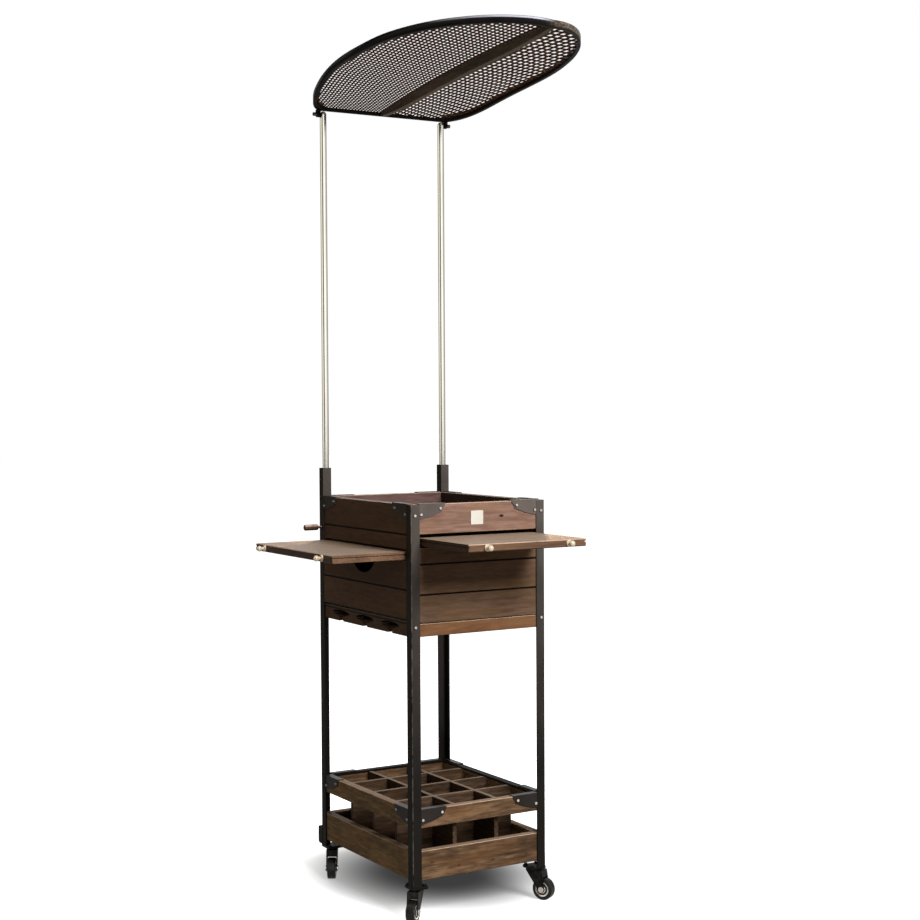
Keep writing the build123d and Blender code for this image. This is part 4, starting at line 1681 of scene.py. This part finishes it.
@dataclass
class Studio:
    """Pale floor, soft lamps, even surroundings and the camera."""

    place: Triple = (-1.9742, -3.4251, 1.1423)
    turn: float = -31.028
    tip: float = -1.942
    roll: float = -0.302
    focal_pixels: float = 1686.43
    picture_pixels: float = 920.0
    sensor: float = 36.0
    room_tint: Colour = (1.0, 0.93, 0.82)
    room_light: float = 0.15
    mirror_axes: tuple[Triple, Triple] = ((0.894, -0.447, 0.0), (-0.447, -0.894, 0.0))
    mirror_bands: Stops = (
        (-180.0, (0.9, 0.9, 0.9)),
        (-152.0, (0.9, 0.9, 0.9)),
        (-146.0, (0.06, 0.06, 0.06)),
        (-114.0, (0.06, 0.06, 0.06)),
        (-104.0, (0.98, 0.98, 0.84)),
        (-52.0, (0.98, 0.98, 0.84)),
        (-46.0, (0.06, 0.055, 0.035)),
        (-18.0, (0.06, 0.055, 0.035)),
        (-12.0, (1.3, 1.3, 1.3)),
        (52.0, (1.3, 1.3, 1.3)),
        (60.0, (0.7, 0.69, 0.67)),
        (94.0, (0.7, 0.69, 0.67)),
        (100.0, (0.3, 0.29, 0.28)),
        (150.0, (0.3, 0.29, 0.28)),
        (156.0, (0.9, 0.9, 0.9)),
    )
    floor_seen: Colour = (0.9, 0.93, 0.97)
    floor_bounce: Colour = (0.2, 0.18, 0.15)
    floor_shine: float = 0.3
    floor_shaded: Colour = (0.02, 0.02, 0.02)
    pool_middle: tuple[float, float] = (0.07, 0.1)
    pool_size: tuple[float, float] = (0.19, 0.225)
    pool_fade: tuple[float, float] = (0.48, 1.8)
    pool_least: float = 0.045
    floor_reach: float = 30.0
    key: Lamp = Lamp("key", (0.45, -3.6, 3.1), (0.0, 0.0, 0.7), 1.9, 350.0, (1.0, 0.98, 0.96))
    back_fill: Lamp = Lamp("back_fill", (0.6, 3.4, 1.3), (0.0, 0.0, 0.8), 1.6, 40.0, (1.0, 0.97, 0.93))
    low_behind: Lamp = Lamp("low_behind", (1.86, 2.6, 1.34), (0.0, -0.1, 0.83), 0.2, 16.0, (1.0, 0.78, 0.5))
    low_fan: float = 16.0
    low_lit: tuple[str, ...] = ("front_board", "left_board")

    def camera(self) -> None:
        """Set the camera by its turn about the upright, its tip and its roll."""
        turn, tip, roll = (math.radians(value) for value in (self.turn, self.tip, self.roll))
        ahead = np.array((-math.sin(turn) * math.cos(tip), math.cos(turn) * math.cos(tip), math.sin(tip)))
        right = np.array((math.cos(turn), math.sin(turn), 0.0))
        right = math.cos(roll) * right + math.sin(roll) * np.cross(right, ahead)
        lens = bpy.data.cameras.new("camera")
        lens.sensor_width = self.sensor
        lens.lens = self.focal_pixels * self.sensor / self.picture_pixels
        eye = bpy.data.objects.new("camera", lens)
        bpy.context.scene.collection.objects.link(eye)
        stand(eye, right, ahead, self.place)
        bpy.context.scene.camera = eye

    def narrow(self, lamp: bpy.types.Object, fan: float, *names: str) -> None:
        """Close a lamp down to a narrow fan that falls on a few solids alone.

        Args:
            lamp: the lamp.
            fan: how widely it shines, in degrees.
            names: node names of the solids that it lights.
        """
        lamp.data.spread = math.radians(fan)
        lit = bpy.data.collections.new(f"{lamp.name}_lit")
        for name in names:
            lit.objects.link(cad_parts[name])
        lamp.light_linking.receiver_collection = lit

    def panels(self, tree: bpy.types.NodeTree) -> Socket:
        """Stand light and dark upright panels round the cart, told apart by their bearing.

        The bearing is the arc tangent of the direction's shares along the two mirror axes.

        Args:
            tree: the nodes of the surroundings.

        Returns:
            The panels' light.
        """
        nodes, links = tree.nodes, tree.links
        place, bands = nodes.new("ShaderNodeTexCoord"), nodes.new("ShaderNodeValToRGB")
        bearing = nodes.new("ShaderNodeMath")
        bearing.operation = "ARCTAN2"
        for socket, axis in zip(bearing.inputs, self.mirror_axes):
            part = nodes.new("ShaderNodeVectorMath")
            part.operation = "DOT_PRODUCT"
            links.new(place.outputs["Generated"], part.inputs[0])
            part.inputs[1].default_value = axis
            links.new(part.outputs["Value"], socket)
        share = nodes.new("ShaderNodeMapRange")
        share.inputs["From Min"].default_value = -math.pi
        share.inputs["From Max"].default_value = math.pi
        links.new(bearing.outputs[0], share.inputs["Value"])
        links.new(share.outputs[0], bands.inputs[0])
        stops = tuple((0.5 + degrees / 360.0, light) for degrees, light in self.mirror_bands)
        set_stops(bands.color_ramp, stops)
        return bands.outputs[0]

    def surroundings(self) -> None:
        """Fill the room with a little warm light, white to the eye and in panels where metal mirrors it."""
        world = bpy.data.worlds.new("studio")
        world.use_nodes = True
        nodes, links = world.node_tree.nodes, world.node_tree.links
        nodes.clear()
        path = nodes.new("ShaderNodeLightPath")
        room, mirrored, white = (nodes.new("ShaderNodeBackground") for _ in range(3))
        room.inputs["Color"].default_value = (*self.room_tint, 1.0)
        room.inputs["Strength"].default_value = self.room_light
        white.inputs["Color"].default_value = (*PLAIN, 1.0)
        links.new(self.panels(world.node_tree), mirrored.inputs["Color"])
        lower, upper = nodes.new("ShaderNodeMixShader"), nodes.new("ShaderNodeMixShader")
        links.new(path.outputs["Is Glossy Ray"], lower.inputs[0])
        links.new(room.outputs[0], lower.inputs[1])
        links.new(mirrored.outputs[0], lower.inputs[2])
        links.new(path.outputs["Is Camera Ray"], upper.inputs[0])
        links.new(lower.outputs[0], upper.inputs[1])
        links.new(white.outputs[0], upper.inputs[2])
        output = nodes.new("ShaderNodeOutputWorld")
        links.new(upper.outputs[0], output.inputs["Surface"])
        bpy.context.scene.world = world

    def floor(self) -> None:
        """Lay the floor: white to the eye, with the cart's shadow kept beneath and close round it and
        deepened there by a painted shadow.
        """
        points = self.floor_reach * np.array(((-1, -1, 0), (1, -1, 0), (1, 1, 0), (-1, 1, 0)))
        graph = ShaderGraph("floor_white")
        path = graph.nodes.new("ShaderNodeLightPath")
        seen = path.outputs["Is Camera Ray"]
        graph.surface(Roughness=0.9, Specular_IOR_Level=0.0, Emission_Color=PLAIN)
        place = graph.split(graph.place)
        shares = []
        for part, middle, size in zip(place, self.pool_middle, self.pool_size):
            shares.append(graph.maths("DIVIDE", graph.maths("SUBTRACT", part, middle), size))
        open_floor = graph.maths("POWER", graph.spread(graph.length(*shares), *self.pool_fade), 2.0)
        # Inside the pool the floor's colour to the eye falls to floor_shaded: a painted shadow over the real
        # one
        pale = graph.mix(open_floor, self.floor_shaded, self.floor_seen)
        graph.surface(Base_Color=graph.mix(seen, self.floor_bounce, pale))
        glow = graph.times(seen, graph.spread(open_floor, 0.0, 1.0, self.pool_least, 1.0))
        shine = graph.times(path.outputs["Is Glossy Ray"], self.floor_shine)
        graph.surface(Emission_Strength=graph.maths("ADD", glow, shine))
        sheet = make_piece("floor", points, np.array(((0, 1, 2, 3),)), graph.material)

    def build(self) -> None:
        """Set the camera, lamps, surroundings, floor and view."""
        self.camera()
        self.key.hang()
        self.back_fill.hang()
        self.narrow(self.low_behind.hang(), self.low_fan, *self.low_lit)
        self.surroundings()
        self.floor()
        bpy.context.scene.view_settings.view_transform = "Standard"


def corners(box: tuple) -> list[list[float]]:
    """Give a box's two corners as plain lists."""
    return [[float(value) for value in corner] for corner in box]


def main() -> None:
    """Build and dress every sub-assembly, then the studio, and log how many solids were dressed."""
    logging.basicConfig(level=logging.INFO, format="%(message)s")
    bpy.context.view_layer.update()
    SteelFrame().dress()
    TrayBox().dress()
    ServingBoards().dress()
    SideDrawer().dress()
    BottleRack().dress()
    Mast().dress()
    canopy = Canopy()
    canopy.dress()
    canopy.build()
    casters = Casters()
    casters.dress()
    casters.build()
    Studio().build()
    log.info("cart of %d solids dressed", len(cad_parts))


if __name__ == "__main__":
    main()
